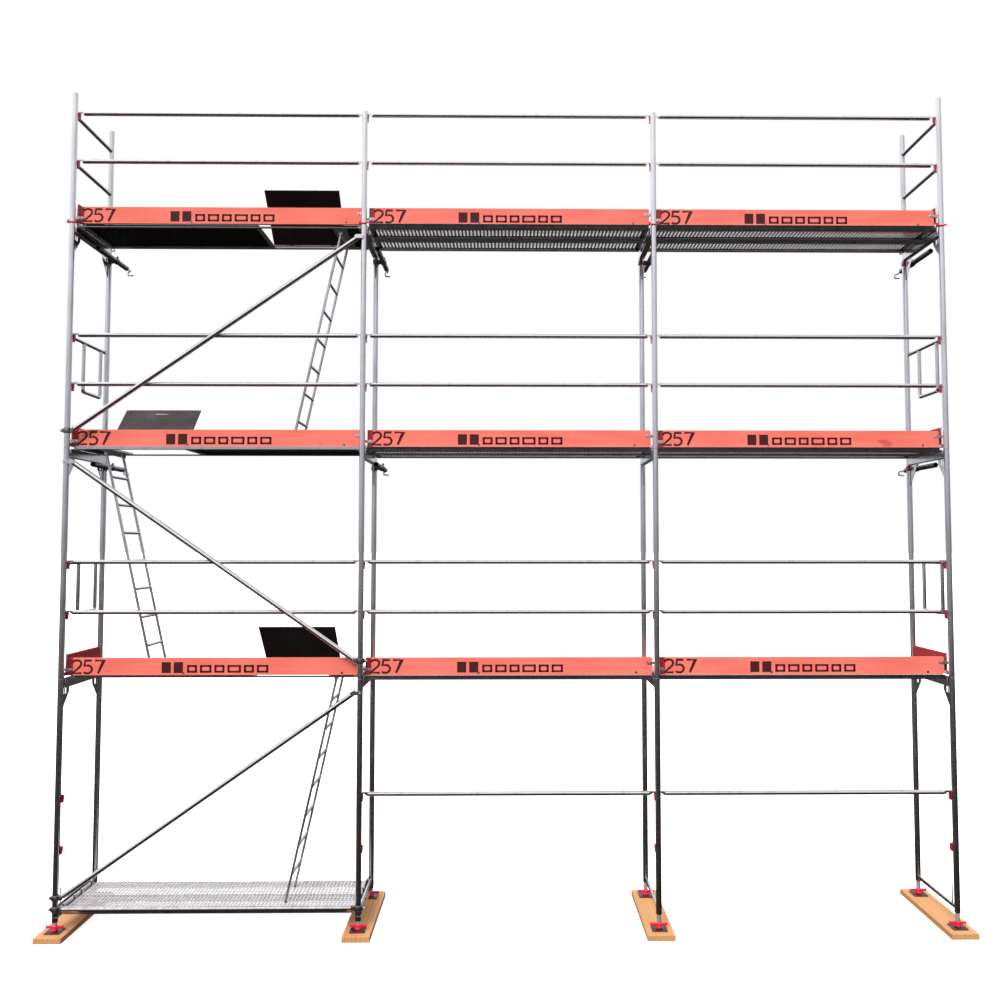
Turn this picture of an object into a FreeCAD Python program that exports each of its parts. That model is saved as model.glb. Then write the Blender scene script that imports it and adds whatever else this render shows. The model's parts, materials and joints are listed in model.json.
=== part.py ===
"""Facade frame scaffold section: three bays long, three lifts high, one frame deep.

Millimetres. +X runs along the bays, +Y from the open front to the wall side, +Z up.
The origin is on the ground at the middle of the footprint.
"""

import math
import os

import FreeCAD
import Part

# Layout
BAY = 2572.0
DEPTH = 732.0
LIFT = 2000.0
FRONT = -468.0
BACK = FRONT + DEPTH
LINES = [-1.5 * BAY, -0.5 * BAY, 0.5 * BAY, 1.5 * BAY]
BASE = 174.0
JOINTS = [BASE + LIFT * n for n in range(4)]

# Tubes
STANDARD_R = 24.15
STANDARD_BORE_R = 20.95
SPIGOT_R = 19.0
SPIGOT_BORE_R = 15.0
SPIGOT_UP = 180.0
SPIGOT_DOWN = 90.0
PIN_HOLE_R = 4.5
PIN_HOLE_UP = 16.0

# Ground pieces
BOARD_LONG = 1000.0
BOARD_WIDE = 236.0
BOARD_THICK = 48.0
PLATE_SIDE = 130.0
PLATE_THICK = 8.0
SPINDLE_R = 19.0
SPINDLE_BORE_R = 14.5
SPINDLE_LONG = 560.0
NUT_HUB_R = 24.0
NUT_BORE_R = SPINDLE_R + 0.08
NUT_LOW = 61.0
NUT_HIGH = 100.0
WING_REACH = 75.0
COLLAR_LOW = 129.0

# Frames
CHANNEL_WIDE = 53.0
CHANNEL_HIGH = 76.0
CHANNEL_WALL = 4.0
CHANNEL_DROP = 2.0
CROSS_WIDE = 20.0
CROSS_HIGH = 30.0
CROSS_UP = 21.0
GUSSET_THICK = 4.0
BOX_UP = [571.0, 1007.0]
BOX_DEEP = 62.0
BOX_TOP = 58.0
BOX_BOTTOM = 48.0
BOX_WALL = 3.0
BOX_NEAR = 23.0
BOX_FAR = 56.0
TOE_PIN_R = 5.0
TOE_PIN_BACK = 83.0
TOE_PIN_TOP = 216.0

# Guards
RAIL_R = 19.0
RAIL_WALL = 2.0
RAIL_BACK = 45.0
RAIL_START = 62.0
TAB_THICK = 6.0
POST_HIGH = 1018.0
END_FRAME_HIGH = 1168.0
END_TUBES_UP = [544.0, 973.0]
LOOP_R = 16.5
LOOP_UP = 998.0
LOOP_DROP = 450.0
LEFT_LOOP = (308.0, 643.0)
RIGHT_LOOP = (168.0, 515.0)

# Toeboards
TOE_HIGH = 150.0
TOE_NEAR = 75.0
TOE_THICK = 28.0
TOE_LEFT_GAPS = [15.0, 33.0, 33.0]
TOE_RIGHT_GAP = 28.0
FITTING_LEFT_UP = 58.0
FITTING_RIGHT_UP = 108.0

# Decks
DECK_UP = 22.0
DECK_THICK = 43.0
DECK_NEAR = 44.0
DECK_FAR = 692.0
DECK_END_GAP = 34.0
PLANK_WIDE = 320.0
PLANK_SHEET = 2.0
PLANK_INSET = 22.0
BASE_DECK_UP = 36.0

# Access decks
ACCESS_THICK = 25.0
ACCESS_NEAR = 104.0
ACCESS_FAR = 692.0
ACCESS_TURN_ASIDE = 10.0
NEAR_RAIL_WIDE = 22.0
FAR_RAIL_WIDE = 50.0
HATCH_STARTS = [273.0, 308.0, 273.0]
HATCH_LONG = 685.0
LADDER_LEDGE = 28.0
FAR_LEDGE = 9.0
LID_THICK = 12.0
LID_GAP = 2.0
LID_OPENS = [48.5, 46.0, 46.0]
HINGE_R = 5.0

# Ladders
LADDER_PIVOTS = [240.0, 252.0, 240.0]
LADDER_PIVOT_DROP = 22.0
LADDER_LEANS = [12.4, 12.9, 12.2]
LADDER_WIDE = 372.0
STILE_WIDE = 20.0
STILE_THICK = 22.0
STILE_ABOVE = 12.0
RUNG_R = 12.5
RUNG_STEP = 257.0
RUNG_COUNT = 7
FOOT_CLEAR = 0.4

# Bracing and ties
BRACE_R = 21.2
BRACE_FOOT_UP = 168.0
BRACE_HEAD_DOWN = 112.0
BRACE_FOOT_GAP = 64.0
BRACE_HEAD_GAP = 38.0
LEDGER_HIGH = 234.0
TIE_ASIDE = 70.0
TIE_DROP = 109.0
TIE_NEAR = 345.0
TIE_FAR = 965.0
TIE_REACH = 1070.0
HOOK_R = 8.0
HOOK_ASIDE = 25.0
HOOK_DROP = 40.0
HOOK_TOE = 50.0
TIE_SPOTS = [(0, 3), (1, 3), (2, 3), (3, 3), (0, 2), (1, 2), (3, 2)]

X_AXIS = FreeCAD.Vector(1, 0, 0)
Y_AXIS = FreeCAD.Vector(0, 1, 0)
Z_AXIS = FreeCAD.Vector(0, 0, 1)


def vec(x, y, z):
    return FreeCAD.Vector(x, y, z)


def box(x0, x1, y0, y1, z0, z1):
    """A block between three pairs of coordinates, given in any order."""
    low = vec(min(x0, x1), min(y0, y1), min(z0, z1))
    return Part.makeBox(abs(x1 - x0), abs(y1 - y0), abs(z1 - z0), low)


def rod(radius, start, end):
    """A solid round bar from one point to another."""
    along = end.sub(start)
    return Part.makeCylinder(radius, along.Length, start, along)


def tube(radius, bore, start, end):
    """A round tube from one point to another."""
    return rod(radius, start, end).cut(rod(bore, start, end))


def prism(points, push):
    """A flat outline of points pushed out along a vector."""
    return Part.Face(Part.makePolygon(points + points[:1])).extrude(push)


def standards_at(x):
    """The solid outline of both standards on a line, for trimming what is welded to them."""
    shapes = [rod(STANDARD_R, vec(x, y, 0), vec(x, y, 8000)) for y in (FRONT, BACK)]
    return shapes[0].fuse(shapes[1])


def save(name, solids):
    """Writes one node: a compound of its separate solids."""
    flat = []
    for shape in solids:
        flat.extend(shape.Solids)
    Part.makeCompound(flat).exportStep("parts/" + name + ".step")


def mirror_y(shape):
    """The shape reflected from the front side of the frame to the back side."""
    return shape.mirror(vec(0, (FRONT + BACK) / 2, 0), Y_AXIS)


# ---------------------------------------------------------------- ground pieces


def sole_board(x):
    middle = (FRONT + BACK) / 2
    board = box(
        x - BOARD_WIDE / 2,
        x + BOARD_WIDE / 2,
        middle - BOARD_LONG / 2,
        middle + BOARD_LONG / 2,
        0,
        BOARD_THICK,
    )
    ends = [edge for edge in board.Edges if abs(edge.tangentAt(0).z) > 0.9]
    return board.makeChamfer(4, ends)


def jack(x, y):
    top = BOARD_THICK + PLATE_THICK
    half = PLATE_SIDE / 2
    plate = box(x - half, x + half, y - half, y + half, BOARD_THICK, top)
    plate = plate.cut(rod(SPINDLE_BORE_R, vec(x, y, 0), vec(x, y, top)))
    corners = [edge for edge in plate.Edges if edge.Length < PLATE_THICK + 0.1]
    plate = plate.makeFillet(6, corners)
    for side in (-1, 1):
        plate = plate.cut(
            rod(5.5, vec(x + side * 48, y + side * 48, 0), vec(x + side * 48, y + side * 48, top))
        )
    spindle = tube(SPINDLE_R, SPINDLE_BORE_R, vec(x, y, top), vec(x, y, top + SPINDLE_LONG))
    return [plate, spindle]


def wing_nut(x, y):
    hub = rod(NUT_HUB_R, vec(x, y, NUT_LOW), vec(x, y, NUT_HIGH))
    wings = []
    for side in (-1, 1):
        outline = [
            vec(x + side * 15, y - 7, NUT_HIGH - 20),
            vec(x + side * 40, y - 7, NUT_HIGH - 17),
            vec(x + side * (WING_REACH - 4), y - 7, NUT_HIGH - 15),
            vec(x + side * WING_REACH, y - 7, NUT_HIGH - 11),
            vec(x + side * WING_REACH, y - 7, NUT_HIGH - 4),
            vec(x + side * (WING_REACH - 5), y - 7, NUT_HIGH),
            vec(x + side * 15, y - 7, NUT_HIGH - 2),
        ]
        wings.append(prism(outline, vec(0, 14, 0)))
    body = hub.fuse(wings)
    return body.cut(rod(NUT_BORE_R, vec(x, y, 0), vec(x, y, 200))).removeSplitter()


def channel(x, low, high, trim):
    """An upward-open channel between the standards, as floor and two walls."""
    half = CHANNEL_WIDE / 2
    floor = box(x - half, x + half, FRONT + 5, BACK - 5, low, low + CHANNEL_WALL).cut(trim)
    walls = []
    for side in (-1, 1):
        walls.append(
            box(
                x + side * half,
                x + side * (half - CHANNEL_WALL),
                FRONT + 26,
                BACK - 26,
                low + CHANNEL_WALL,
                high,
            )
        )
    return [floor] + walls


def gusset(x, top, reach, edge, drop, trim, slots):
    """A corner plate under a transom at the front standard."""
    near = FRONT + 15
    far = FRONT + reach
    outline = [
        vec(x - GUSSET_THICK / 2, near, top),
        vec(x - GUSSET_THICK / 2, far, top),
        vec(x - GUSSET_THICK / 2, far, top - edge),
        vec(x - GUSSET_THICK / 2, near, top - drop),
    ]
    plate = prism(outline, vec(GUSSET_THICK, 0, 0))
    if slots:
        for y in (FRONT + 52, FRONT + 88):
            plate = plate.cut(box(x - 10, x + 10, y - 11, y + 11, top - 58, top - 8))
    return plate.cut(trim)


def base_transom(x):
    trim = standards_at(x)
    low = BASE - 9
    parts = channel(x, low, BASE + 66, trim)
    for y in (FRONT, BACK):
        parts.append(tube(STANDARD_R, STANDARD_BORE_R, vec(x, y, COLLAR_LOW), vec(x, y, BASE)))
    front = gusset(x, low, 110, 8, low - COLLAR_LOW, trim, False)
    return parts + [front, mirror_y(front)]


def half_coupler(x, y, z, toward):
    """A clamp ring round an upright tube with its two bolts, opened toward one side in X."""
    ring = tube(STANDARD_R + 7, STANDARD_R + 0.15, vec(x, y, z - 24), vec(x, y, z + 24))
    lug = box(x - toward * 27, x - toward * 44, y - 16, y + 16, z - 20, z + 20)
    lug = lug.cut(rod(STANDARD_R + 7, vec(x, y, z - 40), vec(x, y, z + 40)))
    seat = box(x + toward * 22, x + toward * 58, y - 15, y + 15, z - 20, z + 20)
    seat = seat.cut(rod(STANDARD_R + 7, vec(x, y, z - 40), vec(x, y, z + 40)))
    bolt = rod(8, vec(x - toward * 44, y, z), vec(x - toward * 62, y, z))
    nut = Part.makeCylinder(12, 9, vec(x - toward * 46, y, z), vec(-toward, 0, 0))
    return [ring.fuse([lug, seat]), bolt.fuse(nut)]


def base_ledger():
    left = LINES[0]
    right = LINES[1]
    z = LEDGER_HIGH
    parts = [tube(STANDARD_R, STANDARD_BORE_R, vec(left + 58, FRONT, z), vec(right - 58, FRONT, z))]
    for line, toward in ((left, 1), (right, -1)):
        clamp, bolt = half_coupler(line, FRONT, z, toward)
        half = CROSS_WIDE / 2 + 0.5
        clear = box(line - half, line + half, FRONT, FRONT + 60, BASE, BASE + CROSS_UP + CROSS_HIGH + 1)
        parts += [clamp.cut(clear), bolt]
    return parts


# ---------------------------------------------------------------- frames


def standard(x, y, low, high, spigot):
    """One upright tube, with its spigot pressed into the top where it has one."""
    shape = tube(STANDARD_R, STANDARD_BORE_R, vec(x, y, low), vec(x, y, high))
    if spigot:
        inner = tube(
            STANDARD_BORE_R,
            SPIGOT_BORE_R,
            vec(x, y, high - SPIGOT_DOWN),
            vec(x, y, high),
        )
        upper = tube(SPIGOT_R, SPIGOT_BORE_R, vec(x, y, high), vec(x, y, high + SPIGOT_UP))
        shape = shape.fuse([inner, upper]).removeSplitter()
    holes = [low + PIN_HOLE_UP]
    if spigot:
        holes.append(high + PIN_HOLE_UP)
    for z in holes:
        shape = shape.cut(rod(PIN_HOLE_R, vec(x - 40, y, z), vec(x + 40, y, z)))
    return shape


def cross_tube(x, joint, trim, reach):
    """The lower cross tube with its toeboard pin; reach is how far back it runs."""
    low = joint + CROSS_UP
    high = low + CROSS_HIGH
    half = CROSS_WIDE / 2
    bar = box(x - half, x + half, FRONT + 5, FRONT + reach, low, high)
    hollow = box(
        x - half + 2, x + half - 2, FRONT + 5, FRONT + reach, low + 2, high - 2
    )
    pin = rod(
        TOE_PIN_R,
        vec(x, FRONT + TOE_PIN_BACK, high),
        vec(x, FRONT + TOE_PIN_BACK, joint + TOE_PIN_TOP),
    )
    return [bar.cut(hollow).cut(trim), pin]


def rail_box(x, z, trim):
    """A tapered open sleeve on the inner side of a front standard; z is the rail's height."""
    low = z - BOX_DEEP
    outer = [
        vec(x - BOX_TOP / 2, FRONT + BOX_NEAR, z),
        vec(x + BOX_TOP / 2, FRONT + BOX_NEAR, z),
        vec(x + BOX_BOTTOM / 2, FRONT + BOX_NEAR, low),
        vec(x - BOX_BOTTOM / 2, FRONT + BOX_NEAR, low),
    ]
    inner = [
        vec(x - BOX_TOP / 2 + BOX_WALL, FRONT + BOX_NEAR + 4, z + 1),
        vec(x + BOX_TOP / 2 - BOX_WALL, FRONT + BOX_NEAR + 4, z + 1),
        vec(x + BOX_BOTTOM / 2 - BOX_WALL, FRONT + BOX_NEAR + 4, low - 1),
        vec(x - BOX_BOTTOM / 2 + BOX_WALL, FRONT + BOX_NEAR + 4, low - 1),
    ]
    deep = BOX_FAR - BOX_NEAR
    shell = prism(outer, vec(0, deep, 0))
    hole = prism(inner, vec(0, deep - 4 - BOX_WALL, 0))
    return shell.cut(hole).cut(trim)


def frame(x, joint):
    trim = standards_at(x)
    top = joint + LIFT
    parts = [standard(x, y, joint, top, True) for y in (FRONT, BACK)]
    parts += cross_tube(x, joint, trim, DEPTH - 5)
    low = top - CHANNEL_DROP - CHANNEL_HIGH
    parts += channel(x, low, top - CHANNEL_DROP, trim)
    corner = gusset(x, low, 148, 45, 200, trim, True)
    parts += [corner, mirror_y(corner)]
    return parts


def end_frame(x):
    trim = standards_at(x)
    low = JOINTS[3]
    parts = [standard(x, y, low, low + END_FRAME_HIGH, False) for y in (FRONT, BACK)]
    parts += cross_tube(x, low, trim, DEPTH - 5)
    near = FRONT + BOX_FAR
    for up in END_TUBES_UP:
        bar = tube(RAIL_R, RAIL_R - RAIL_WALL, vec(x, near, low + up), vec(x, BACK, low + up))
        parts.append(bar.cut(trim))
    return parts


def guard_post(x):
    trim = standards_at(x)
    low = JOINTS[3]
    post = standard(x, FRONT, low, low + POST_HIGH, False)
    return [post] + cross_tube(x, low, trim, TOE_PIN_BACK + 16)


def rail_boxes(level):
    """All guardrail boxes that stand above one joint height."""
    parts = []
    for x in LINES:
        trim = standards_at(x)
        parts += [rail_box(x, JOINTS[level] + up, trim) for up in BOX_UP]
    return parts


def wedges(level):
    """The wedges in the guardrail boxes of one level."""
    parts = []
    for x in LINES:
        for up in BOX_UP:
            z = JOINTS[level] + up
            near = FRONT + BOX_NEAR + 5.5
            outline = [
                vec(x - 14, near, z + 22),
                vec(x + 14, near, z + 22),
                vec(x + 9, near, z - 84),
                vec(x - 9, near, z - 84),
            ]
            parts.append(prism(outline, vec(0, 5, 0)))
    return parts


def locking_pin(x, y):
    z = JOINTS[3] + PIN_HOLE_UP
    stem = rod(PIN_HOLE_R - 0.4, vec(x - 44, y, z), vec(x + 46, y, z))
    head = box(x - 44, x - 29, y - 5, y + 5, z - 22, z + 16)
    lower = rod(PIN_HOLE_R - 0.9, vec(x - 36, y - 29, z - 18), vec(x + 40, y - 29, z - 18))
    link = box(x - 42, x - 32, y - 32, y + 4, z - 22, z - 14)
    return stem.fuse([head, lower, link])


# ---------------------------------------------------------------- edge protection


def guardrail(left, right, z):
    """A rail between two lines, with flat tabs that drop into the guardrail boxes."""
    y = FRONT + RAIL_BACK
    start = left + RAIL_START
    end = right - RAIL_START
    shape = tube(RAIL_R, RAIL_R - RAIL_WALL, vec(start, y, z), vec(end, y, z))
    plugs = [rod(RAIL_R - RAIL_WALL, vec(start, y, z), vec(start + 8, y, z))]
    plugs.append(rod(RAIL_R - RAIL_WALL, vec(end - 8, y, z), vec(end, y, z)))
    tabs = []
    for side, line in ((1, left), (-1, right)):
        outline = [
            vec(line + side * 6, y - TAB_THICK / 2, z + 14),
            vec(line + side * RAIL_START, y - TAB_THICK / 2, z + 17),
            vec(line + side * RAIL_START, y - TAB_THICK / 2, z - 17),
            vec(line + side * 36, y - TAB_THICK / 2, z + 2),
            vec(line + side * 25, y - TAB_THICK / 2, z + 2),
            vec(line + side * 19, y - TAB_THICK / 2, z - 44),
            vec(line + side * 6, y - TAB_THICK / 2, z - 44),
        ]
        tabs.append(prism(outline, vec(0, TAB_THICK, 0)))
    return shape.fuse(plugs + tabs).removeSplitter()


def end_guardrail(x, outward, joint):
    """A front-to-back rail with a hanging loop, on the outer half of the boxes at one end."""
    plane = x + outward * 19
    z = joint + LOOP_UP
    near = FRONT + 60
    bar = tube(LOOP_R, LOOP_R - 2, vec(plane, near, z), vec(plane, BACK - 30, z))
    hook = box(plane - 3, plane + 3, FRONT + 36, near + 20, z + 11, z + 15.5)
    hook = hook.fuse(box(plane - 3, plane + 3, FRONT + 38, FRONT + 50, z - 30, z + 15.5))
    clip = tube(STANDARD_R + 6, STANDARD_R + 0.3, vec(x, BACK, z - 16), vec(x, BACK, z + 16))
    clip = clip.cut(box(x, x - outward * 60, BACK - 60, BACK + 60, z - 20, z + 20))
    pad = box(plane - 8, plane + 8, BACK - 44, BACK - 20, z - 14, z + 14)
    pad = pad.cut(rod(STANDARD_R + 0.3, vec(x, BACK, z - 50), vec(x, BACK, z + 50)))
    top = bar.fuse([hook, pad, clip]).removeSplitter()
    near_y, far_y = [FRONT + back for back in (RIGHT_LOOP if outward > 0 else LEFT_LOOP)]
    low = z - LOOP_DROP
    inner = LOOP_R - 2
    legs = []
    for y in (near_y, far_y):
        leg = tube(LOOP_R, inner, vec(plane, y, low), vec(plane, y, z))
        legs.append(leg.cut(rod(LOOP_R, vec(plane, near, z), vec(plane, BACK - 30, z))))
    bottom = tube(LOOP_R, inner, vec(plane, near_y, low), vec(plane, far_y, low))
    for y in (near_y, far_y):
        bottom = bottom.cut(rod(LOOP_R, vec(plane, y, low - 40), vec(plane, y, z)))
    return [top] + legs + [bottom]


def toeboard(bay, joint):
    low = joint + DECK_UP
    high = low + TOE_HIGH
    y = FRONT + TOE_NEAR
    start = LINES[bay] + TOE_LEFT_GAPS[bay]
    end = LINES[bay + 1] - TOE_RIGHT_GAP
    outline = [
        vec(start, y, low),
        vec(end - 12, y, low),
        vec(end, y, low + 12),
        vec(end, y, high - 8),
        vec(end - 8, y, high),
        vec(start, y, high),
    ]
    return prism(outline, vec(0, TOE_THICK, 0))


def toeboard_fitting(line, side, gap, low):
    """The steel end fitting of a toeboard: strap, end leaf and the eye round the pin."""
    high = low + 25
    board = line + side * gap
    strap = box(board, board + side * 46, FRONT + TOE_NEAR - 3, FRONT + TOE_NEAR, low, high)
    leaf = box(board - side * 3, board, FRONT + TOE_NEAR - 3, FRONT + TOE_PIN_BACK + 3, low, high)
    arm = box(
        board - side * 3,
        line + side * 9,
        FRONT + TOE_PIN_BACK - 3,
        FRONT + TOE_PIN_BACK + 3,
        low,
        high,
    )
    centre = vec(line, FRONT + TOE_PIN_BACK, low)
    top = vec(line, FRONT + TOE_PIN_BACK, high)
    eye = rod(12, centre, top)
    bolt = rod(
        7,
        vec(board + side * 28, FRONT + TOE_NEAR - 7, low + 12.5),
        vec(board + side * 28, FRONT + TOE_NEAR - 3, low + 12.5),
    )
    return strap.fuse([leaf, arm, eye, bolt]).cut(rod(TOE_PIN_R + 0.8, centre, top))


def end_toeboard(x, joint):
    low = joint + CROSS_UP + CROSS_HIGH
    return box(x - 14, x + 14, FRONT + 100, BACK - 27, low, low + TOE_HIGH)


# ---------------------------------------------------------------- decks


def claws(line, side, top, rim, y_spots, bottom):
    """Hooks from a deck end over the near wall of a transom channel."""
    parts = []
    edge = line + side * DECK_END_GAP
    tip = line + side * 13
    for y in y_spots:
        over = box(edge, tip, y - 20, y + 20, rim, rim + 6)
        down = box(tip, tip + side * 6, y - 20, y + 20, rim - 30, rim)
        back = box(edge, edge - side * 5, y - 20, y + 20, min(rim, bottom), max(rim + 6, top))
        parts.append(over.fuse([down, back]))
    return parts


def plank(left, right, near, top, rim):
    """A pressed steel plank: sheet top, sloping sides with lips, end plates and claws."""
    x0 = left + DECK_END_GAP
    x1 = right - DECK_END_GAP
    far = near + PLANK_WIDE
    low = top - DECK_THICK
    t = PLANK_SHEET
    pieces = [box(x0, x1, near, far, top - t, top)]
    for y, side in ((near, 1), (far, -1)):
        foot = y + side * PLANK_INSET
        lip = foot + side * 28
        wall = [
            vec(x0, y, top),
            vec(x0, y, top - t),
            vec(x0, foot, low),
            vec(x0, foot + side * 2.5, low),
            vec(x0, y + side * 2.5, top),
        ]
        pieces.append(prism(wall, vec(x1 - x0, 0, 0)))
        pieces.append(box(x0, x1, foot, lip, low, low + t))
        pieces.append(box(x0, x1, lip, lip - side * t, low, low + 12))
    end = [
        vec(x0, near, top),
        vec(x0, far, top),
        vec(x0, far - PLANK_INSET, low),
        vec(x0, near + PLANK_INSET, low),
    ]
    plate = prism(end, vec(4, 0, 0))
    pieces.append(plate)
    pieces.append(plate.translated(vec(x1 - x0 - 4, 0, 0)))
    spots = [near + 62, far - 62]
    pieces += claws(left, 1, top, rim, spots, low)
    pieces += claws(right, -1, top, rim, spots, low)
    body = pieces[0].fuse(pieces[1:])
    return body.removeSplitter()


def plank_pair(bay, joint, up, rim):
    near = FRONT + DECK_NEAR
    far = FRONT + DECK_FAR - PLANK_WIDE
    left = LINES[bay]
    right = LINES[bay + 1]
    return [plank(left, right, y, joint + up, rim) for y in (near, far)]


def access_deck(level):
    """The metal frame, panels, hatch lid and ladder of one access deck, hatch at the right end.

    Odd levels have the hatch at the right with the lid hinged at the back. Even levels are the
    same deck turned half round.
    """
    joint = JOINTS[level]
    left = LINES[0]
    right = LINES[1]
    top = joint + DECK_UP
    low = top - ACCESS_THICK
    near = FRONT + ACCESS_NEAR
    far = FRONT + ACCESS_FAR
    x0 = left + DECK_END_GAP
    x1 = right - DECK_END_GAP
    rim = joint - CHANNEL_DROP
    hatch1 = right - HATCH_STARTS[level - 1]
    hatch0 = hatch1 - HATCH_LONG
    ledge = top - LID_THICK - 0.4
    inside0 = near + NEAR_RAIL_WIDE
    inside1 = far - FAR_RAIL_WIDE

    members = [box(x0 + 40, x1 - 40, near, inside0, low, ledge)]
    members.append(box(x0, x1, inside1, far, low, top))
    members.append(box(x0, x0 + 40, near, inside1, low, top))
    members.append(box(x1 - 40, x1, near, inside1, low, top))
    members.append(box(hatch1 - LADDER_LEDGE, hatch1 + 92, inside0, inside1, low, ledge))
    members.append(box(hatch0 - 30, hatch0 + FAR_LEDGE, inside0, inside1, low, ledge))
    spots = [near + 90, far - 90]
    members += claws(left, 1, top, rim, spots, low)
    members += claws(right, -1, top, rim, spots, low)

    panels = [
        box(x0 + 40, hatch0 - LID_GAP, near, inside1, ledge, top),
        box(hatch1 + LID_GAP, x1 - 40, near, inside1, ledge, top),
    ]

    lid = box(hatch0, hatch1, near + 2, inside1 - 4, top - LID_THICK, top)
    hinge_y = inside1 - 2
    hinge_z = top + HINGE_R + 0.5
    knuckles = []
    fixed = []
    for x in (hatch0 + 110, hatch1 - 190):
        leaf = box(x, x + 38, hinge_y - 34, hinge_y, top, top + 3)
        barrel = rod(HINGE_R, vec(x, hinge_y, hinge_z), vec(x + 38, hinge_y, hinge_z))
        knuckles.append(barrel.fuse(leaf))
        barrel = rod(HINGE_R, vec(x + 40, hinge_y, hinge_z), vec(x + 78, hinge_y, hinge_z))
        web = box(x + 40, x + 78, hinge_y + 2, hinge_y + 8, top, hinge_z)
        fixed.append(barrel.fuse(web))
    middle_x = (hatch0 + hatch1) / 2
    grip = box(middle_x - 60, middle_x + 60, near + 62, near + 76, top, top + 3)
    lid = lid.fuse(knuckles + [grip]).removeSplitter()
    lid.rotate(vec(0, hinge_y, hinge_z), X_AXIS, -LID_OPENS[level - 1])
    members += fixed

    pivot_x = right - LADDER_PIVOTS[level - 1]
    pivot_z = low - LADDER_PIVOT_DROP
    middle = (FRONT + BACK) / 2
    half = LADDER_WIDE / 2
    for side in (-1, 1):
        y = middle + side * (half + 3)
        ear = box(pivot_x - 16, pivot_x + 16, y, y + side * 6, pivot_z - 14, low)
        ear = ear.cut(rod(8.08, vec(pivot_x, y - 20, pivot_z), vec(pivot_x, y + 20, pivot_z)))
        members.append(ear)
    foot = JOINTS[level - 1] + (BASE_DECK_UP if level == 1 else DECK_UP)
    ladder = hanging_ladder(pivot_x, pivot_z, foot, LADDER_LEANS[level - 1])

    groups = [members, panels, [lid], ladder]
    if level == 2:
        turn = vec((left + right) / 2, middle + ACCESS_TURN_ASIDE, 0)
        for group in groups:
            for shape in group:
                shape.rotate(turn, Z_AXIS, 180)
    return groups


def hanging_ladder(pivot_x, pivot_z, foot, tilt):
    """A ladder that hangs from its pivot bar and leans so that its foot is toward -X."""
    middle = (FRONT + BACK) / 2
    half = LADDER_WIDE / 2
    lean = math.radians(tilt)
    corner = STILE_WIDE / 2 * math.sin(lean)
    long = (pivot_z - foot - corner - FOOT_CLEAR) / math.cos(lean)
    parts = []
    for side in (-1, 1):
        outer = middle + side * half
        inner = middle + side * (half - STILE_THICK)
        parts.append(
            box(
                pivot_x - STILE_WIDE / 2,
                pivot_x + STILE_WIDE / 2,
                outer,
                inner,
                pivot_z + STILE_ABOVE,
                pivot_z - long,
            )
        )
    reach = half + 10
    bar = rod(8, vec(pivot_x, middle - reach, pivot_z), vec(pivot_x, middle + reach, pivot_z))
    for number in range(2):
        parts[number] = parts[number].cut(bar)
    parts.append(bar)
    inner = half - STILE_THICK
    for number in range(RUNG_COUNT):
        z = pivot_z - long + (number + 1) * RUNG_STEP - RUNG_R
        parts.append(
            rod(RUNG_R, vec(pivot_x, middle - inner, z), vec(pivot_x, middle + inner, z))
        )
    for shape in parts:
        shape.rotate(vec(pivot_x, middle, pivot_z), Y_AXIS, tilt)
    return parts


# ---------------------------------------------------------------- bracing and ties


def brace_axis(foot_left, lift):
    """Both ends of a diagonal's middle line, foot first."""
    side = 1 if foot_left else -1
    foot = LINES[0] if foot_left else LINES[1]
    head = LINES[1] if foot_left else LINES[0]
    low = JOINTS[lift] + BRACE_FOOT_UP
    high = JOINTS[lift + 1] - BRACE_HEAD_DOWN
    return vec(foot + side * BRACE_FOOT_GAP, FRONT, low), vec(head - side * BRACE_HEAD_GAP, FRONT, high)


def brace(foot_left, lift):
    """One diagonal of the front zigzag, from a swivel coupler up to a hook at the next joint."""
    return tube(BRACE_R, BRACE_R - 2.3, *brace_axis(foot_left, lift))


def brace_ends(foot_left, lift):
    """The clamp at a brace's foot and the hook plate at its head."""
    side = 1 if foot_left else -1
    foot = LINES[0] if foot_left else LINES[1]
    head = LINES[1] if foot_left else LINES[0]
    start, end = brace_axis(foot_left, lift)
    solid = rod(BRACE_R, start, end)
    clamp, bolt = half_coupler(foot, FRONT, start.z - 14, side)
    low = end.z - 26
    high = end.z + 8
    plate = box(head - side * 10, head - side * 78, FRONT - 27.5, FRONT - BRACE_R, low, high)
    claw = box(head - side * 16, head + side * 16, FRONT - 33, FRONT - 27.5, low, high)
    upright = rod(STANDARD_R + 0.15, vec(head, FRONT, low), vec(head, FRONT, high))
    hook = plate.fuse(claw).cut(upright).cut(solid)
    return [clamp.cut(solid), bolt, hook]


def wall_tie(line, level):
    """A tie tube beside the back standard with a bent hook at the wall end."""
    x = LINES[line] + TIE_ASIDE
    z = JOINTS[level] - TIE_DROP
    far = FRONT + TIE_FAR
    body = tube(STANDARD_R, STANDARD_BORE_R, vec(x, FRONT + TIE_NEAR, z), vec(x, far, z))
    plug = rod(STANDARD_BORE_R, vec(x, far - 6, z), vec(x, far, z))
    reach = FRONT + TIE_REACH - HOOK_R
    path = [
        vec(x, far - 2, z),
        vec(x, reach, z),
        vec(x - HOOK_ASIDE, reach, z),
        vec(x - HOOK_ASIDE, reach, z - HOOK_DROP),
        vec(x - HOOK_ASIDE + HOOK_TOE, reach, z - HOOK_DROP),
    ]
    legs = [rod(HOOK_R, path[number], path[number + 1]) for number in range(4)]
    bends = [Part.makeSphere(HOOK_R, corner) for corner in path[1:4]]
    return body.fuse([plug] + legs + bends)


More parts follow.
